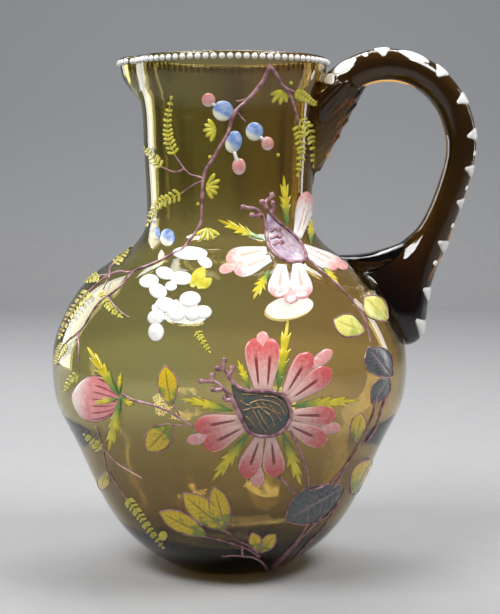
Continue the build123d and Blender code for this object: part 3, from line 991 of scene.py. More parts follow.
BASE_STEMS_PX = [
    [(268, 571), (276, 562), (290, 548), (299, 537), (306, 526), (309, 515)],
    [(272, 569), (284, 557), (295, 545), (305, 533), (317, 521), (324, 509)],
    [(286, 566), (296, 556), (305, 546), (318, 533), (328, 520), (338, 502)],
    [(268, 571), (262, 562), (253, 557), (245, 556), (233, 555), (222, 556)],
    [(259, 556), (249, 549), (238, 545), (222, 540), (205, 536)],
    [(258, 552), (249, 545), (238, 540), (225, 530)],
    [(243, 556), (242, 551), (243, 547)],
]
LOWER_STEM = 1.15 * STEM

shoulder_bundles = (STEM, SHOULDER_STEMS_PX), (TWIG, SHOULDER_TWIGS_PX)
branches("shoulder_lines", "shoulder_branches", *shoulder_bundles)
branches("flower_stem_lines", "flower_stems", (STEM, FLOWER_STEMS_PX), (TWIG, LEAF_TWIGS_PX))
branches("lower_lines", "lower_branches", (LOWER_STEM, LOWER_STEMS_PX), (STEM, BASE_STEMS_PX))

# %% [markdown]
# ## Ferns
#
# A fern is a thin rib with a pair of short leaflets at each step. The leaflet is modelled once and
# laid again and again, shorter towards the tip. Each frond is a run of pixels with its number of
# pairs.

# %% Ferns
LEAFLET = [(0, 0.35), (0.35, 0.85), (0.75, 1.0), (1.0, 0.4)]
LEAFLET_HEIGHT = 0.38 * MM
LEAFLET_WIDTH, LEAFLET_LEAN, TIP_WIDTH, TIP_REACH = 0.29, 0.6, 0.3, 0.35
FERN_RIB = 0.28 * MM


def leaflet(name, base, tip, width, height=LEAFLET_HEIGHT):
    return stroke(leaflet_pad, name, base, tip, width, LEAFLET, height)


def fern(name, path, width, pairs):
    """Leaflets in pairs along a rib, all leaning to the tip."""
    run = through(path, 8)
    pieces = [cord(name, path, FERN_RIB, FERN_RIB * 0.6)]
    for pair in range(pairs):
        share = (pair + 0.6) / pairs
        index = min(int(share * (len(run) - 1)), len(run) - 2)
        spot, forward = run[index], (run[index + 1] - run[index]).normalized()
        side = Vector((forward.y, -forward.x))
        reach = width / 2 * (1 - 0.55 * share**1.5) * random.uniform(0.85, 1.15)
        for hand in (-1, 1):
            tip = spot + side * hand * reach + forward * reach * LEAFLET_LEAN
            pieces.append(leaflet(f"{name}_leaflet", spot, tip, LEAFLET_WIDTH * width))
    tip = run[-1] + (run[-1] - run[-2]).normalized() * width * TIP_REACH
    pieces.append(leaflet(f"{name}_tip", run[-1], tip, TIP_WIDTH * width))
    return pieces


def ferns(name, node, paths, width):
    """Several fronds as one piece."""
    pieces = []
    for number, (path, pairs) in enumerate(paths):
        pieces += fern(f"{name}_{number}", path, width, pairs)
    return finish_piece(join(name, pieces), fern_enamel.material, "fern_enamel", node)


random.seed(7)
NECK_FERNS_PX = [
    ([(175, 155), (170, 143), (168, 132), (168, 118), (171, 100)], 11),
    ([(162, 167), (154, 159), (145, 149)], 6),
    ([(181, 193), (169, 199), (160, 203), (153, 211), (148, 223)], 11),
    ([(294, 92), (304, 97), (315, 104)], 8),
    ([(298, 124), (300, 139), (301, 155), (298, 173)], 9),
    ([(299, 119), (308, 129), (313, 145), (314, 164)], 9),
]
SHOULDER_FERNS_PX = [
    ([(114, 264), (121, 256), (128, 248)], 6),
    ([(100, 276), (92, 278), (83, 281)], 6),
    ([(90, 290), (78, 304), (68, 319), (60, 336)], 14),
    ([(103, 290), (105, 300), (111, 309), (120, 316)], 10),
    ([(66, 343), (60, 352), (56, 362)], 8),
    ([(79, 376), (71, 380), (66, 389)], 5),
    ([(102, 450), (94, 443), (86, 436)], 6),
    ([(126, 498), (138, 513), (149, 529), (162, 546)], 14),
    ([(196, 331), (202, 340), (209, 351)], 6),
]
NECK_FERN_WIDTH, SHOULDER_FERN_WIDTH = 12.5, 10.5

ferns("neck_fern_fronds", "neck_ferns", NECK_FERNS_PX, NECK_FERN_WIDTH)
ferns("shoulder_fern_fronds", "shoulder_ferns", SHOULDER_FERNS_PX, SHOULDER_FERN_WIDTH)

# %% [markdown]
# ## Leaf fans and dots
#
# A fan is five of the same leaflets laid from one point. Round drops of the same yellow mark the
# ends of the finest twigs.

# %% Leaf fans and dots
FANS_PX = [((216, 129), 188), ((282, 90), 262), ((206, 187), -2), ((208, 228), 268)]
FAN_REACH, FAN_SPREAD, FAN_LEAFLETS = 15.0, 118.0, 5
FAN_WIDTH, FAN_HEIGHT = 5.2, 1.2 * LEAFLET_HEIGHT
fan_leaflets = []
for number, (root, aim) in enumerate(FANS_PX):
    for blade in range(FAN_LEAFLETS):
        turn = radians(aim + FAN_SPREAD * (blade / (FAN_LEAFLETS - 1) - 0.5))
        reach = FAN_REACH * random.uniform(0.85, 1.1)
        tip = (root[0] + reach * cos(turn), root[1] - reach * sin(turn))
        fan_leaflets.append(leaflet(f"fan_{number}", root, tip, FAN_WIDTH, FAN_HEIGHT))
fans = join("leaf_fan_leaflets", fan_leaflets)
finish_piece(fans, fern_enamel.material, "fern_enamel", "leaf_fans")

DOTS_PX = [(210, 157), (198, 204), (291, 83), (278, 155)]
DOT_WIDTH, DOT_HEIGHT = 4, 0.4 * MM
LOW_DOT_PX, LOW_DOT_WIDTH, LOW_DOT_LENGTH, LOW_DOT_TURN = (163, 536), 9, 10, 20
LOW_DOT_HEIGHT = 0.5 * MM
dots = [
    drop(seed_blank, f"dot_{number}", spot, DOT_WIDTH, DOT_WIDTH, DOT_HEIGHT)
    for number, spot in enumerate(DOTS_PX)
]
low_dot = LOW_DOT_PX, LOW_DOT_WIDTH, LOW_DOT_LENGTH, LOW_DOT_HEIGHT, LOW_DOT_TURN
dots.append(drop(drop_blank, "dot_low", *low_dot))
finish_piece(join("enamel_drops", dots), fern_enamel.material, "yellow_enamel", "enamel_dots")

# %% [markdown]
# ## Berries
#
# Berries are thick round drops, blue ones and pink ones in pairs. Their undersides are painted
# lighter, a painted highlight for light that comes through them.

# %% Berries
BERRY_HEIGHT = 0.9 * MM
BLUE_BERRIES_PX = [
    ((223, 111), 21, 21, 0), ((254.5, 131.5), 18, 19, 0), ((233.5, 142), 17, 23, 15),
    ((167.5, 237.5), 15, 18, 0), ((156.5, 233), 8, 13, 0),
]
PINK_BERRIES_PX = [
    ((208.5, 100), 14, 14, 0), ((267.5, 143.5), 13, 14, 0), ((239, 166.5), 14, 17, 0),
]


def drops(name, material, slot, node, places, height):
    """A drop for each (pixel, width, length, turn), all as one piece."""
    pieces = [
        drop(drop_blank, f"{name}_{number}", spot, width, length, height, turn)
        for number, (spot, width, length, turn) in enumerate(places)
    ]
    return finish_piece(join(name, pieces), material.material, slot, node)


drops("blue_berry_drops", blue_enamel, "blue_enamel", "blue_berries", BLUE_BERRIES_PX, BERRY_HEIGHT)
drops("pink_berry_drops", pink_enamel, "pink_enamel", "pink_berries", PINK_BERRIES_PX, BERRY_HEIGHT)

# %% [markdown]
# ## Berry necks and blossom
#
# A dab of white joins each blue berry to its pink one. The blossom is a heap of white drops with
# two small pale leaves in it. Necks and leaves are short strokes, so one helper lays a whole list.

# %% Berry necks, blossom and pale leaves
FLAT_ENAMEL, BLOSSOM_HEIGHT = 0.4 * MM, 0.6 * MM
BLOSSOM_PX = [
    ((190, 253), 36, 14, 2), ((205, 262), 16, 11, 30), ((149, 281), 20, 14, -10),
    ((165, 273), 19, 13, 15), ((181, 278), 24, 14, 5), ((158, 291), 19, 15, 25),
    ((171, 286), 12, 10, 0), ((190, 299), 22, 16, -5), ((166, 305), 22, 16, 10),
    ((203, 312), 18, 14, 0), ((176, 314), 18, 15, 0), ((156, 317), 18, 15, -20),
    ((156, 332), 16, 19, 0), ((192, 314), 16, 14, 0),
]
BERRY_NECKS_PX = [
    ((216, 106), (209, 101), 8), ((259, 136), (266, 142), 8), ((234, 151), (238, 164), 8),
]
PALE_LEAVES_PX = [((191, 287), (205, 267), 15), ((197, 288), (212, 279), 12)]
NECK = [(0, 0.55), (0.5, 0.5), (1.0, 1.0)]
BLADE = [(0, 0.25), (0.3, 0.85), (0.6, 1.0), (0.85, 0.6), (1.0, 0.08)]


def strokes(blank, name, places, profile, height, **shaping):
    """One stroke for each (base, tip, width)."""
    return [
        stroke(blank, f"{name}_{number}", base, tip, width, profile, height, **shaping)
        for number, (base, tip, width) in enumerate(places)
    ]


necks = strokes(leaflet_pad, "berry_neck", BERRY_NECKS_PX, NECK, BERRY_HEIGHT * 0.7)
finish_piece(join("berry_necks", necks), white_enamel.material, "white_enamel")
drops("blossom_drops", white_enamel, "white_enamel", "white_blossom", BLOSSOM_PX, BLOSSOM_HEIGHT)
pale_leaves = strokes(plain_pad, "pale_leaf", PALE_LEAVES_PX, BLADE, FLAT_ENAMEL)
pale_leaves = join("pale_leaf_pads", pale_leaves)
finish_piece(pale_leaves, fern_enamel.material, "yellow_enamel", "pale_leaves")

# %% [markdown]
# ## Flowers
#
# Each petal is two long lobes side by side with a small pale knob showing between their tips. A
# lobe has a narrow root and a broad round end. The sepals behind them are toothed like thistle
# leaves.

# %% Petals and sepals
LOBE = [(0, 0.40), (0.28, 0.66), (0.58, 0.94), (0.8, 1.0), (0.93, 0.88), (1.0, 0.66)]
KNOB = [(0, 0.5), (0.35, 0.92), (0.65, 1.0), (0.9, 0.86), (1.0, 0.62)]
PETAL_REACH, PETAL_FULLNESS, SEPAL_FULLNESS = 1.06, 1.12, 1.25
PALEST_KNOB = 0.8
THORN = [(0, 0.35), (0.3, 0.75), (0.55, 1.0), (0.75, 0.7), (1.0, 0.03)]
PETAL_HEIGHT = 0.6 * MM
LOWER_LOBES_PX = [
    ((259, 391), (254, 341), 20), ((267, 391), (271, 341), 20),
    ((285, 395), (309, 355), 20), ((289, 400), (329, 371), 20),
    ((290, 415), (333, 415), 20), ((287, 424), (324, 441), 20),
    ((260, 437), (246, 476), 20), ((271, 437), (275, 475), 20),
    ((241, 419), (197, 427), 19), ((245, 426), (206, 446), 19),
]
LOWER_KNOBS_PX = [
    ((262, 352), (263, 331), 14), ((312, 367), (332, 350), 14), ((320, 429), (341, 427), 12),
    ((258, 468), (257, 487), 14), ((207, 437), (187, 441), 12),
]
LOWER_SEPALS_PX = [
    ((278, 391), (287, 327), 15), ((250, 390), (239, 363), 9), ((233, 411), (187, 400), 12),
    ((292, 406), (351, 401), 14), ((249, 433), (216, 476), 14), ((283, 432), (299, 480), 14),
]
UPPER_LOBES_PX = [
    ((267, 250), (228, 259), 17), ((271, 258), (236, 271), 17),
    ((282, 264), (278, 296), 21), ((297, 263), (303, 297), 21),
    ((296, 237), (307, 194), 14), ((299, 238), (311, 197), 12),
    ((303, 246), (342, 265), 11), ((302, 251), (335, 268), 11),
]
UPPER_KNOBS_PX = [
    ((236, 265), (219, 271), 11), ((291, 284), (291, 304), 16), ((334, 261), (348, 268), 9),
]
UPPER_SEPALS_PX = [
    ((287, 228), (284, 181), 12), ((264, 240), (223, 222), 12), ((311, 243), (311, 221), 9),
    ((269, 270), (255, 296), 14), ((321, 264), (337, 282), 9),
]


def petals(name, material, node, lobes, knobs):
    """Pairs of lobes, each pair over a round knob that was painted first."""
    full_lobes = [
        (base, Vector(base).lerp(Vector(tip), PETAL_REACH), width * PETAL_FULLNESS)
        for base, tip, width in lobes
    ]
    pieces = strokes(fine_pad, name, full_lobes, LOBE, PETAL_HEIGHT, round_tip=0.10, flute=0.12)
    finish_piece(join(name, pieces), material.material, "pink_enamel", node)
    pieces = strokes(plain_pad, f"{name}_knob", knobs, KNOB, PETAL_HEIGHT * 0.6, round_tip=0.12)
    for piece in pieces:
        for share in piece.data.attributes["along"].data:
            share.value = PALEST_KNOB + (1 - PALEST_KNOB) * share.value
    return finish_piece(join(f"{name}_knobs", pieces), pale_petals.material, "pink_enamel")


def sepals(name, node, places, height=FLAT_ENAMEL):
    """Toothed blades, each a little wider than it was read off the photograph."""
    full = [(base, tip, width * SEPAL_FULLNESS) for base, tip, width in places]
    pieces = strokes(thorn_pad, name, full, THORN, height, teeth=5)
    return finish_piece(join(name, pieces), sepal_enamel.material, "yellow_enamel", node)


petals("lower_petal_lobes", rose_petals, "lower_flower_petals", LOWER_LOBES_PX, LOWER_KNOBS_PX)
sepals("lower_sepal_blades", "lower_flower_sepals", LOWER_SEPALS_PX)
petals("upper_petal_lobes", pale_petals, "upper_flower_petals", UPPER_LOBES_PX, UPPER_KNOBS_PX)
sepals("upper_sepal_blades", "upper_flower_sepals", UPPER_SEPALS_PX)

# %% [markdown]
# ## Hearts
#
# The heart of a flower is a drop-shaped shield. A thick plum rim runs round it and out into two
# horns with knobs, and fine gilt scrolls lie on top. The shield is a sheet between its left and its
# right edge. The scrolls are cords, moved forward so that they lie on the shield and not in it.

# %% Hearts with horns and scrolls
SHIELD_HEIGHT, SCROLL_LIFT = 0.45 * MM, 0.42 * MM
RIM_RADIUS, RIM_END, RIM_KNOTS = 0.92 * MM, 0.8 * MM, 0.4
SCROLL_RADIUS, SCROLL_END = 0.27 * MM, 0.2 * MM
HORN_KNOB, HORN_KNOB_HEIGHT = 6.5, 1.1 * MM
LOWER_SHIELD_PX = (
    [(231, 386), (234, 398), (238, 410), (246, 426), (253, 433), (262, 436)],
    [(233, 384), (243, 389), (255, 391), (268, 391), (281, 394), (289, 403), (291, 415), (286, 427),
     (276, 434), (266, 436)],
)
UPPER_SHIELD_PX = (
    [(267, 214), (266, 229), (268, 244), (276, 256), (288, 262), (296, 262)],
    [(267, 214), (270, 213), (277, 221), (289, 231), (301, 244), (306, 257), (303, 262)],
)
LOWER_RIM_PX = [
    [(246, 428), (238, 412), (231, 397), (223, 388), (215, 382), (201, 381)],
    [(246, 428), (253, 434), (264, 436), (276, 434), (286, 427), (291, 415), (288, 402),
     (280, 394), (268, 391), (254, 391), (242, 389), (234, 383), (227, 373), (223, 366),
     (224, 360)],
    [(218, 384), (213, 380), (212, 375)], [(222, 389), (216, 390), (213, 389)],
    [(229, 376), (231, 372), (232, 368)], [(224, 370), (220, 369), (217, 368)],
    [(232, 399), (227, 400), (225, 398)],
]
LOWER_SCROLLS_PX = [
    [(250, 403), (259, 400), (270, 401), (280, 406), (285, 415)],
    [(252, 408), (263, 407), (273, 411), (281, 420)],
    [(251, 406), (256, 415), (261, 425), (266, 432)], [(258, 410), (262, 418), (269, 428)],
    [(264, 396), (275, 397), (284, 404), (287, 412)], [(240, 400), (245, 404), (251, 405)],
    [(243, 410), (248, 409), (252, 407)], [(266, 412), (272, 418), (274, 426)],
    [(242, 394), (249, 394), (258, 394)], [(246, 416), (251, 421), (256, 428)],
    [(256, 403), (262, 409), (270, 414)], [(262, 402), (268, 408), (277, 413)],
    [(270, 405), (275, 411), (280, 414)],
]
UPPER_RIM_PX = [
    [(303, 262), (296, 262), (288, 262), (277, 256), (268, 244), (266, 229), (262, 215),
     (255, 209), (243, 207)],
    [(303, 262), (306, 257), (301, 244), (289, 231), (277, 221), (269, 211), (265, 203),
     (272, 195)],
    [(261, 214), (256, 216), (252, 215)], [(266, 208), (264, 205), (262, 202)],
    [(271, 213), (273, 208), (272, 203)], [(270, 232), (274, 229), (278, 230)],
    [(270, 239), (275, 237), (279, 237)], [(273, 246), (277, 243), (281, 243)],
]
UPPER_SCROLLS_PX = [
    [(277, 230), (284, 236), (293, 247), (302, 258)], [(279, 236), (287, 246), (296, 257)],
    [(282, 228), (291, 237), (299, 247), (303, 256)], [(278, 243), (285, 251), (291, 258)],
    [(283, 243), (290, 248), (298, 252)],
]


def heart(name, node, material, edges, rim, scrolls):
    """A dark shield between its two edges, its plum rim with horns and its gilt scrolls."""
    shield = sheet(fine_pad, name, *edges, SHIELD_HEIGHT)
    finish_piece(shield, material.material, "dark_enamel", node)
    lines = [
        cord(f"{name}_rim_{number}", path, RIM_RADIUS, RIM_END, RIM_KNOTS)
        for number, path in enumerate(rim)
    ]
    lines += [
        drop(seed_blank, f"{name}_end", path[-1], HORN_KNOB, HORN_KNOB, HORN_KNOB_HEIGHT)
        for path in rim
    ]
    finish_piece(join(f"{name}_rim", lines), plum_enamel.material, "plum_enamel")
    lines = [
        cord(f"{name}_scroll_{number}", path, SCROLL_RADIUS, SCROLL_END)
        for number, path in enumerate(scrolls)
    ]
    for line in lines:
        for vertex in line.data.vertices:
            vertex.co.y -= SCROLL_LIFT
    finish_piece(join(f"{name}_scrolls", lines), gold_enamel.material, "yellow_enamel")


lower_lines, upper_lines = (LOWER_RIM_PX, LOWER_SCROLLS_PX), (UPPER_RIM_PX, UPPER_SCROLLS_PX)
heart("lower_shield", "lower_flower_heart", slate_enamel, LOWER_SHIELD_PX, *lower_lines)
heart("upper_shield", "upper_flower_heart", lilac_enamel, UPPER_SHIELD_PX, *upper_lines)

# %% [markdown]
# ## The bud
#
# The bud is one plump egg of pink, thicker than a petal, that points to the left. Its calyx is made
# of the same toothed blades as the sepals, standing higher so that they clasp the egg.

# %% Bud
BUD_ROOT, BUD_TIP, BUD_WIDTH = (120, 402), (72, 396), 47
EGG = [(0, 0.30), (0.2, 0.72), (0.5, 1.0), (0.78, 0.92), (0.93, 0.66), (1.0, 0.40)]
BUD_SEPALS_PX = [
    ((120, 397), (91, 352), 13), ((121, 397), (110, 445), 13), ((120, 398), (96, 403), 9),
    ((121, 397), (133, 405), 9), ((120, 394), (121, 375), 5),
]
BUD_SHAPING = {"round_tip": 0.08, "flute": 0.15}
BUD_HEIGHT, CALYX_HEIGHT = 1.3 * PETAL_HEIGHT, 1.0 * MM

bud = stroke(fine_pad, "bud_lobes", BUD_ROOT, BUD_TIP, BUD_WIDTH, EGG, BUD_HEIGHT, **BUD_SHAPING)
finish_piece(bud, bud_enamel.material, "pink_enamel", "bud_petals")
sepals("bud_calyx_blades", "bud_calyx", BUD_SEPALS_PX, CALYX_HEIGHT)

# %% [markdown]
# ## Leaves
#
# All the leaves are outlined in plum with a fine brush. The outline is a cord that follows the same
# edge as the leaf.

# %% Leaves
LEAF = [(0, 0.12), (0.2, 0.6), (0.5, 1.0), (0.8, 0.75), (1.0, 0.1)]
YELLOW_LEAVES_PX = [
    ((171, 406), (165, 366), 20), ((171, 425), (147, 450), 25),
    ((355, 443), (361, 413), 16), ((352, 494), (371, 460), 22),
]
LEMON_LEAVES_PX = [((364, 332), (334, 320), 23), ((387, 320), (365, 297), 23)]
DARK_LEAVES_PX = [
    ((391, 377), (368, 348), 28), ((372, 404), (388, 378), 18), ((343, 487), (286, 520), 35),
]
BASE_LEAVES_PX = [
    ((206, 535), (160, 512), 20), ((226, 530), (183, 494), 24), ((226, 529), (214, 487), 20),
    ((259, 552), (252, 533), 13), ((260, 552), (275, 534), 13), ((107, 471), (101, 490), 12),
]
OUTLINE, EDGE_STEPS = 0.32 * MM, 10


def leaf_edge(base, tip, width):
    """The pixels round the edge of a leaf, up one side and down the other, closed at the base."""
    base, tip = Vector(base), Vector(tip)
    run = tip - base
    side = Vector((run.y, -run.x)).normalized()
    shares = [closer_at_ends(step / EDGE_STEPS) for step in range(EDGE_STEPS + 1)]
    middle = [base + run * share for share in shares]
    reach = [side * width / 2 * between(LEAF, share) for share in shares]
    up = [spot + out for spot, out in zip(middle, reach)]
    down = [spot - out for spot, out in zip(middle, reach)]
    return up + down[::-1]


def leaves(name, material, slot, places, *nodes):
    """Leaf pads in one colour and, as a second piece, their outlines."""
    pads = strokes(fine_pad, name, places, LEAF, FLAT_ENAMEL, flute=0.2)
    edges = [
        cord(f"{name}_edge_{number}", leaf_edge(*place), OUTLINE)
        for number, place in enumerate(places)
    ]
    finish_piece(join(name, pads), material.material, slot, *nodes)
    finish_piece(join(f"{name}_outlines", edges), plum_enamel.material, "plum_enamel")


leaves("yellow_leaf_pads", yellow_leaf, "yellow_enamel", YELLOW_LEAVES_PX, "yellow_leaves")
leaves("lemon_leaf_pads", lemon_leaf, "yellow_enamel", LEMON_LEAVES_PX)
leaves("dark_leaf_pads", dark_leaf, "dark_enamel", DARK_LEAVES_PX, "dark_leaves")
leaves("base_leaf_pads", yellow_leaf, "yellow_enamel", BASE_LEAVES_PX, "base_leaves")

# %% [markdown]
# ## The handle
#
# The handle was one hot gather: its thick end was pressed on the shoulder, it was pulled up and
# over, and its tail was pinched down the neck with a crimping tool. The frame's own handle is the
# core. A root that spreads over the shoulder, a thin feather of glass behind it and a tail that
# runs into the neck are swept beside it as rounded bars.

# %% Core, root and tail
ROOT_STATIONS = [
    (100.5, 166, 14.0, 16), (94.5, 154.4, 17.5, 17), (86, 143.3, 24, 21), (77, 132, 35, 28),
    (66, 122, 41, 34),
]
FEATHER_STATIONS = [(88, 150, 12, 14), (74, 144, 14, 20), (62, 143, 11, 20), (50, 145, 6, 14)]
TAIL_STATIONS = [(42, 224, 14, 15), (39.5, 205, 9, 11), (38.6, 190, 5, 8), (38, 180, 2.5, 5)]


def sweep(name, stations):
    """A rounded bar through stations in the handle's plane: x, z, thickness and width in mm."""
    line, thicknesses, widths = [
        through([(station[0], station[index]) for station in stations], 6) for index in (1, 2, 3)
    ]
    places = [(spot.x * MM, 0, spot.y * MM) for spot in line]
    bar = tube(name, places, [thickness.y / 2 * MM for thickness in thicknesses], 6)
    for vertex in bar.data.vertices:
        here = Vector((vertex.co.x, vertex.co.z)) / MM
        near = min(range(len(line)), key=lambda index: (line[index] - here).length)
        vertex.co.y *= widths[near].y / thicknesses[near].y
    return bar


core = own_copy(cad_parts["handle"], "handle_core")
core.data.materials.clear()
clean(core, 1e-5)
print("core faces:", len(core.data.polygons))

# %% [markdown]
# ## Crimping ridges
#
# The crimping tool left a row of slanting ridges on both flat sides of the tail. Each ridge is a
# thin bar that climbs across the tail. The core is felt from the side with rays, so that the bar
# follows its surface, and a bar too short to show is left out.

# %% Crimping ridges
TAIL_TIP, TAIL_FLARE, TAIL_TOP = (43.4, 189.8), 0.582, 229
RIDGE_PITCH, RIDGE_SLANT, RIDGE_THICKNESS, RIDGES = 3.4, 1.0, 2.4, 10
RIDGE_START, RIDGE_STRIDE, RIDGE_STEPS, SHORTEST = 39.5, 2, 12, 3
SIDE_REACH = 100 * MM
core_surface = surface_of(core)


def crimp(name, number, hand):
    """One ridge slanting up across a flat side of the tail, felt on the core."""
    low = TAIL_TIP[1] - 1 + number * RIDGE_PITCH
    inwards = Vector((0, -hand, 0))
    stations, depths = [], []
    for step in range(RIDGE_STEPS):
        x, z = RIDGE_START + step * RIDGE_STRIDE, low + step * RIDGE_STRIDE * RIDGE_SLANT
        if x > TAIL_TIP[0] + (z - TAIL_TIP[1]) * TAIL_FLARE or z > TAIL_TOP:
            break
        hit = core_surface.ray_cast(Vector((x * MM, hand * SIDE_REACH, z * MM)), inwards)[0]
        if hit:
            depths.append(hit.y)
            stations.append((x, z, RIDGE_THICKNESS, RIDGE_THICKNESS))
    if len(stations) < SHORTEST:
        return None
    bar = sweep(name, stations)
    places = [station[0] * MM for station in stations]
    for vertex in bar.data.vertices:
        near = min(range(len(places)), key=lambda index: abs(places[index] - vertex.co.x))
        vertex.co.y += depths[near]
    return bar


crimps = [
    crimp(f"crimp_{number}_{hand}", number, hand) for number in range(RIDGES) for hand in (-1, 1)
]
crimps = [bar for bar in crimps if bar]
print("ridges:", len(crimps))

# %% [markdown]
# ## One skin
#
# All these bars overlap. A voxel remesh gives them one closed skin, and smoothing rounds the places
# where they meet. The cutter is the outer wall once more, a little smaller, so the handle ends just
# inside the glass of the body and looks fused to it.

# %% Melt and cut
HANDLE_VOXEL = 0.7 * MM
EMBEDDED = 0.3 * MM
FIRST_CUTTER_RING = 4

root, feather = sweep("root", ROOT_STATIONS), sweep("feather", FEATHER_STATIONS)
tail = sweep("tail", TAIL_STATIONS)
strand = join("jug_handle", [core, root, feather, tail] + crimps)
apply_modifier(strand, "REMESH", mode="VOXEL", voxel_size=HANDLE_VOXEL)
apply_modifier(strand, "SMOOTH", factor=0.5, iterations=3)
cutter_rings = [(radius - EMBEDDED, height) for radius, height in outer_rings[FIRST_CUTTER_RING:]]
low_pole, high_pole = (POLE, cutter_rings[0][1]), (POLE, cutter_rings[-1][1])
cutter = throw("wall_cutter", [low_pole] + cutter_rings + [high_pole], SEGMENTS)
in_edit(cutter, (bpy.ops.mesh.fill_holes, {"sides": 0}))
clean(cutter)
apply_modifier(strand, "BOOLEAN", operation="DIFFERENCE", solver="EXACT", object=cutter)
bpy.data.objects.remove(cutter)
print("handle faces:", len(strand.data.polygons))

# %% [markdown]
# ## Glass of the handle
#
# The handle is the same melt as the body, and thick enough to look nearly black. Paler amber cords
# in it catch the light.

# %% Handle glass
HANDLE_TINT, HANDLE_DENSITY = colour(0.60, 0.47, 0.10), 360.0
DULL_AMBER, BRIGHT_AMBER = colour(0.80, 0.72, 0.50), colour(1.0, 0.80, 0.45)
TOOL_MARK_DEPTH = 0.5 * MM

handle_glass = amber_glass("handle_glass", HANDLE_TINT, HANDLE_DENSITY)
amber_cords = handle_glass.noise(70.0, 2.0).step(0.52, 0.66)
handle_glass.set("Base Color", handle_glass.mix(amber_cords, DULL_AMBER, BRIGHT_AMBER))
handle_glass.bump(handle_glass.noise(55.0, 1.0), TOOL_MARK_DEPTH, 0.5)
finish_piece(strand, handle_glass.material, "amber_glass", "handle")

# %% [markdown]
# ## White dabs on the handle
#
# The outer ridge of the handle has white dabs with small dots between them. Each dab is wide on the
# ridge and drawn to a point towards the front, so the same pad blank is laid across the ridge.

# %% Handle dabs
CENTRE_LINE = [
    (40, 214), (56.9, 228.5), (65, 234.5), (75, 236.4), (86.6, 233.3), (96.5, 226.2), (104, 216),
    (108.7, 204.3), (109.1, 192.8), (105.3, 177), (100.5, 166), (94.5, 154.4), (86, 143.3),
    (76, 131),
]
WEDGES = [
    (71.5, 242.4, 8, 76), (99.7, 234.6, 8.5, 80), (110.6, 221.5, 7, 84), (116, 204.7, 6.5, 92),
    (115.7, 186.9, 6.5, 92), (111.6, 171, 6.5, 86), (102.9, 151.1, 6.5, 86), (92.2, 131.2, 7, 56),
    (88.5, 116.5, 8, 50),
]
BANDS = [(55.2, 233.6, 13, 42), (86, 240.2, 15, 44), (48.6, 227.2, 5.5, 40)]
BAND_LEAN, WEDGE_START = 38, -14
SPOTS = [(63.1, 241.5), (117.5, 195.4), (114.9, 178.5), (108, 160.1), (99.7, 142.1)]
WEDGE = [(0, 0.55), (0.25, 1.0), (0.6, 0.85), (1.0, 0.2)]
BAND = [(0, 0.3), (0.3, 0.9), (0.6, 1.0), (1.0, 0.25)]
DAB_HEIGHT = 0.55 * MM
SPOT_SIZE = (2.4, 22)
RAY_START = 40 * MM
handle_surface = surface_of(strand)


def ridge_frame(x, z):
    """The centre of the strand under a point of the ridge, and the ways outwards and along."""
    run = through(CENTRE_LINE, 8)
    near = min(run, key=lambda spot: hypot(spot.x - x, spot.y - z))
    away = Vector((x - near.x, 0, z - near.y)).normalized()
    return Vector((near.x * MM, 0, near.y * MM)), away, Vector((away.z, 0, -away.x))


def dab(blank, name, place, size, profile, lengthwise):
    """A pad on the ridge, lengthwise or round it; size is mm along and degrees round."""
    centre, away, along_ridge = ridge_frame(*place)
    length, reach = size

    def on_ridge(co):
        across, share = co.x, closer_at_ends((co.y + 1) / 2)
        half = between(profile, share) / 2
        if lengthwise:
            sideways, turn = (share - 0.5) * length, BAND_LEAN + across * half * reach
        else:
            sideways, turn = across * half * length, WEDGE_START + share * reach
        ray = away * cos(radians(turn)) + Vector((0, -sin(radians(turn)), 0))
        start = centre + along_ridge * sideways * MM + ray * RAY_START
        point, normal = handle_surface.ray_cast(start, -ray)[:2]
        return point + normal * domed(co, share, DAB_HEIGHT) if point else centre

    piece = own_copy(blank, name)
    for vertex in piece.data.vertices:
        vertex.co = on_ridge(vertex.co.copy())
    return piece


def dabs_of(blank, name, places, profile, lengthwise):
    """A dab for each (x, z, length, reach)."""
    return [
        dab(blank, f"{name}_{number}", place[:2], place[2:], profile, lengthwise)
        for number, place in enumerate(places)
    ]


dabs = dabs_of(plain_pad, "wedge", WEDGES, WEDGE, False)
dabs += dabs_of(plain_pad, "band", BANDS, BAND, True)
dabs += dabs_of(leaflet_pad, "spot", [spot + SPOT_SIZE for spot in SPOTS], KNOB, True)
finish_piece(join("handle_dabs", dabs), white_enamel.material, "white_enamel", "handle_marks")

# %% [markdown]
# ## Rim beads
#
# The beads under the rim are right as the frame has them, so they only get the white enamel. With
# the last enamel on, the flat blanks have done their work and are thrown away.

# %% Rim beads
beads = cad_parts["rim_beads"]
for place in beads.material_slots:
    place.material = white_enamel.material
print("beads dressed:", len(beads.data.polygons), "faces")

for blank in blanks:
    bpy.data.objects.remove(blank)

# %% [markdown]
# ## Floor and backdrop
#
# A pale sheet lies under the jug and sweeps up behind it. It is one plane whose back edge is pulled
# up, with a wide bevel for the bend. Painted shade darkens it a little as it rises, for the light
# that falls off up the backdrop.

# %% Floor and backdrop
STAGE_WIDTH, STAGE_FRONT, STAGE_BACK, STAGE_TOP, STAGE_BEND = 3.6, 1.7, 2.0, 1.8, 0.5
PAPER, PAPER_SHADE = colour(0.38, 0.38, 0.38), colour(0.34, 0.34, 0.35)
# The wall colour is painted shade for the backdrop as it rises.
PAINTED_WALL_SHADE = colour(0.30, 0.31, 0.325)
WALL_FROM = 350 * MM


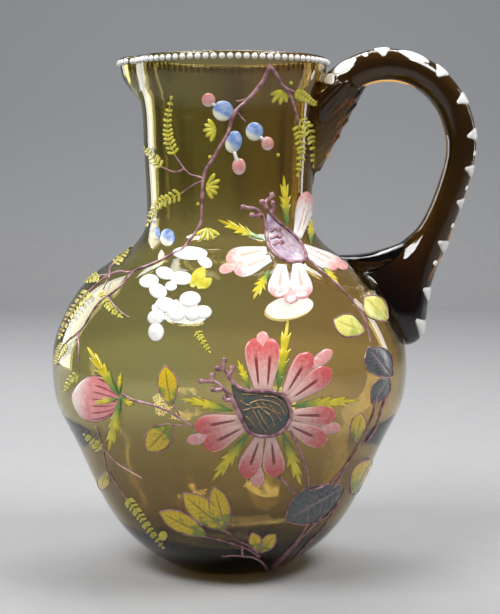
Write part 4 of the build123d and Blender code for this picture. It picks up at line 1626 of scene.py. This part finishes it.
def make_stage():
    """A floor that bends up into a backdrop."""
    deselect()
    bpy.ops.mesh.primitive_plane_add(size=1, location=(0, 0, 0))
    stage = bpy.context.active_object
    stage.name = "floor"
    stage.scale = (STAGE_WIDTH, STAGE_FRONT + STAGE_BACK, 1)
    stage.location = (0, (STAGE_BACK - STAGE_FRONT) / 2, 0)
    bpy.ops.object.transform_apply(location=True, rotation=True, scale=True)
    bpy.ops.object.mode_set(mode="EDIT")
    bpy.ops.mesh.select_mode(type="EDGE")
    bpy.ops.mesh.select_all(action="DESELECT")
    bpy.ops.object.mode_set(mode="OBJECT")
    for edge in stage.data.edges:
        ends = [stage.data.vertices[index].co for index in edge.vertices]
        edge.select = all(end.y > STAGE_BACK - MM for end in ends)
    bpy.ops.object.mode_set(mode="EDIT")
    bpy.ops.mesh.extrude_region_move(TRANSFORM_OT_translate={"value": (0, 0, STAGE_TOP)})
    bpy.ops.object.mode_set(mode="OBJECT")
    apply_modifier(stage, "BEVEL", width=STAGE_BEND, segments=24, limit_method="ANGLE")
    bpy.ops.object.shade_smooth()
    paper = Finish("pale_floor", Roughness=0.85)
    paper_tone = paper.mix(paper.noise(60.0), PAPER_SHADE, PAPER)
    # Painted shade: the backdrop is painted darker as it rises, for the light falling off away from
    # the jug.
    painted_wall_shade_mask = paper.sides()[2].step(0.0, WALL_FROM)
    paper.set("Base Color", paper.mix(painted_wall_shade_mask, paper_tone, PAINTED_WALL_SHADE))
    stage.data.materials.append(paper.material)
    return stage


print("stage faces:", len(make_stage().data.polygons))

# %% [markdown]
# ## Light
#
# The room is dim, so the edges of the glass go dark. Two round soft boxes above give the bright
# ovals on the shoulder. Tall strips at the sides and behind draw the pale bands down the glass, and
# one more light fills the backdrop, which shows through the body.

# %% Lights
JUG_MIDDLE = Vector((0, 0, 140 * MM))
ROOM, ROOM_STRENGTH = colour(0.9, 0.93, 1.0), 0.09


def around(turn, rise, reach):
    """A place seen from the jug at a turn from the front and a rise, in degrees."""
    away = outward(radians(turn)) * cos(radians(rise)) + Vector((0, 0, sin(radians(rise))))
    return JUG_MIDDLE + away * reach


def soft_light(name, shape, place, target, width, height, power):
    """A soft box that faces a target."""
    data = bpy.data.lights.new(name, "AREA")
    data.shape = shape
    data.size, data.size_y = width, height
    data.energy = power
    lamp = put_in_scene(name, data)
    lamp.location = place
    lamp.rotation_euler = (Vector(place) - Vector(target)).to_track_quat("Z", "Y").to_euler()


bpy.context.scene.view_settings.view_transform = "Standard"
world = bpy.data.worlds.new("studio")
world.use_nodes = True
background = world.node_tree.nodes["Background"]
background.inputs["Color"].default_value = ROOM
background.inputs["Strength"].default_value = ROOM_STRENGTH
bpy.context.scene.world = world
soft_light("left_box", "ELLIPSE", around(-46, 51, 1.1), JUG_MIDDLE, 0.70, 0.36, 12)
soft_light("right_box", "ELLIPSE", around(60, 52, 1.1), JUG_MIDDLE, 0.62, 0.34, 9)
soft_light("left_strip", "RECTANGLE", around(-128, 14, 1.2), JUG_MIDDLE, 0.42, 1.1, 6)
soft_light("right_strip", "RECTANGLE", around(118, 8, 1.1), JUG_MIDDLE, 0.10, 0.9, 1.5)
soft_light("back_light", "RECTANGLE", around(176, 62, 1.0), JUG_MIDDLE, 0.8, 0.4, 5)
soft_light("backdrop_light", "RECTANGLE", (0, 1.0, 1.5), (0, 1.9, 0.15), 1.8, 0.4, 16)
print("lights:", len(bpy.data.lights))
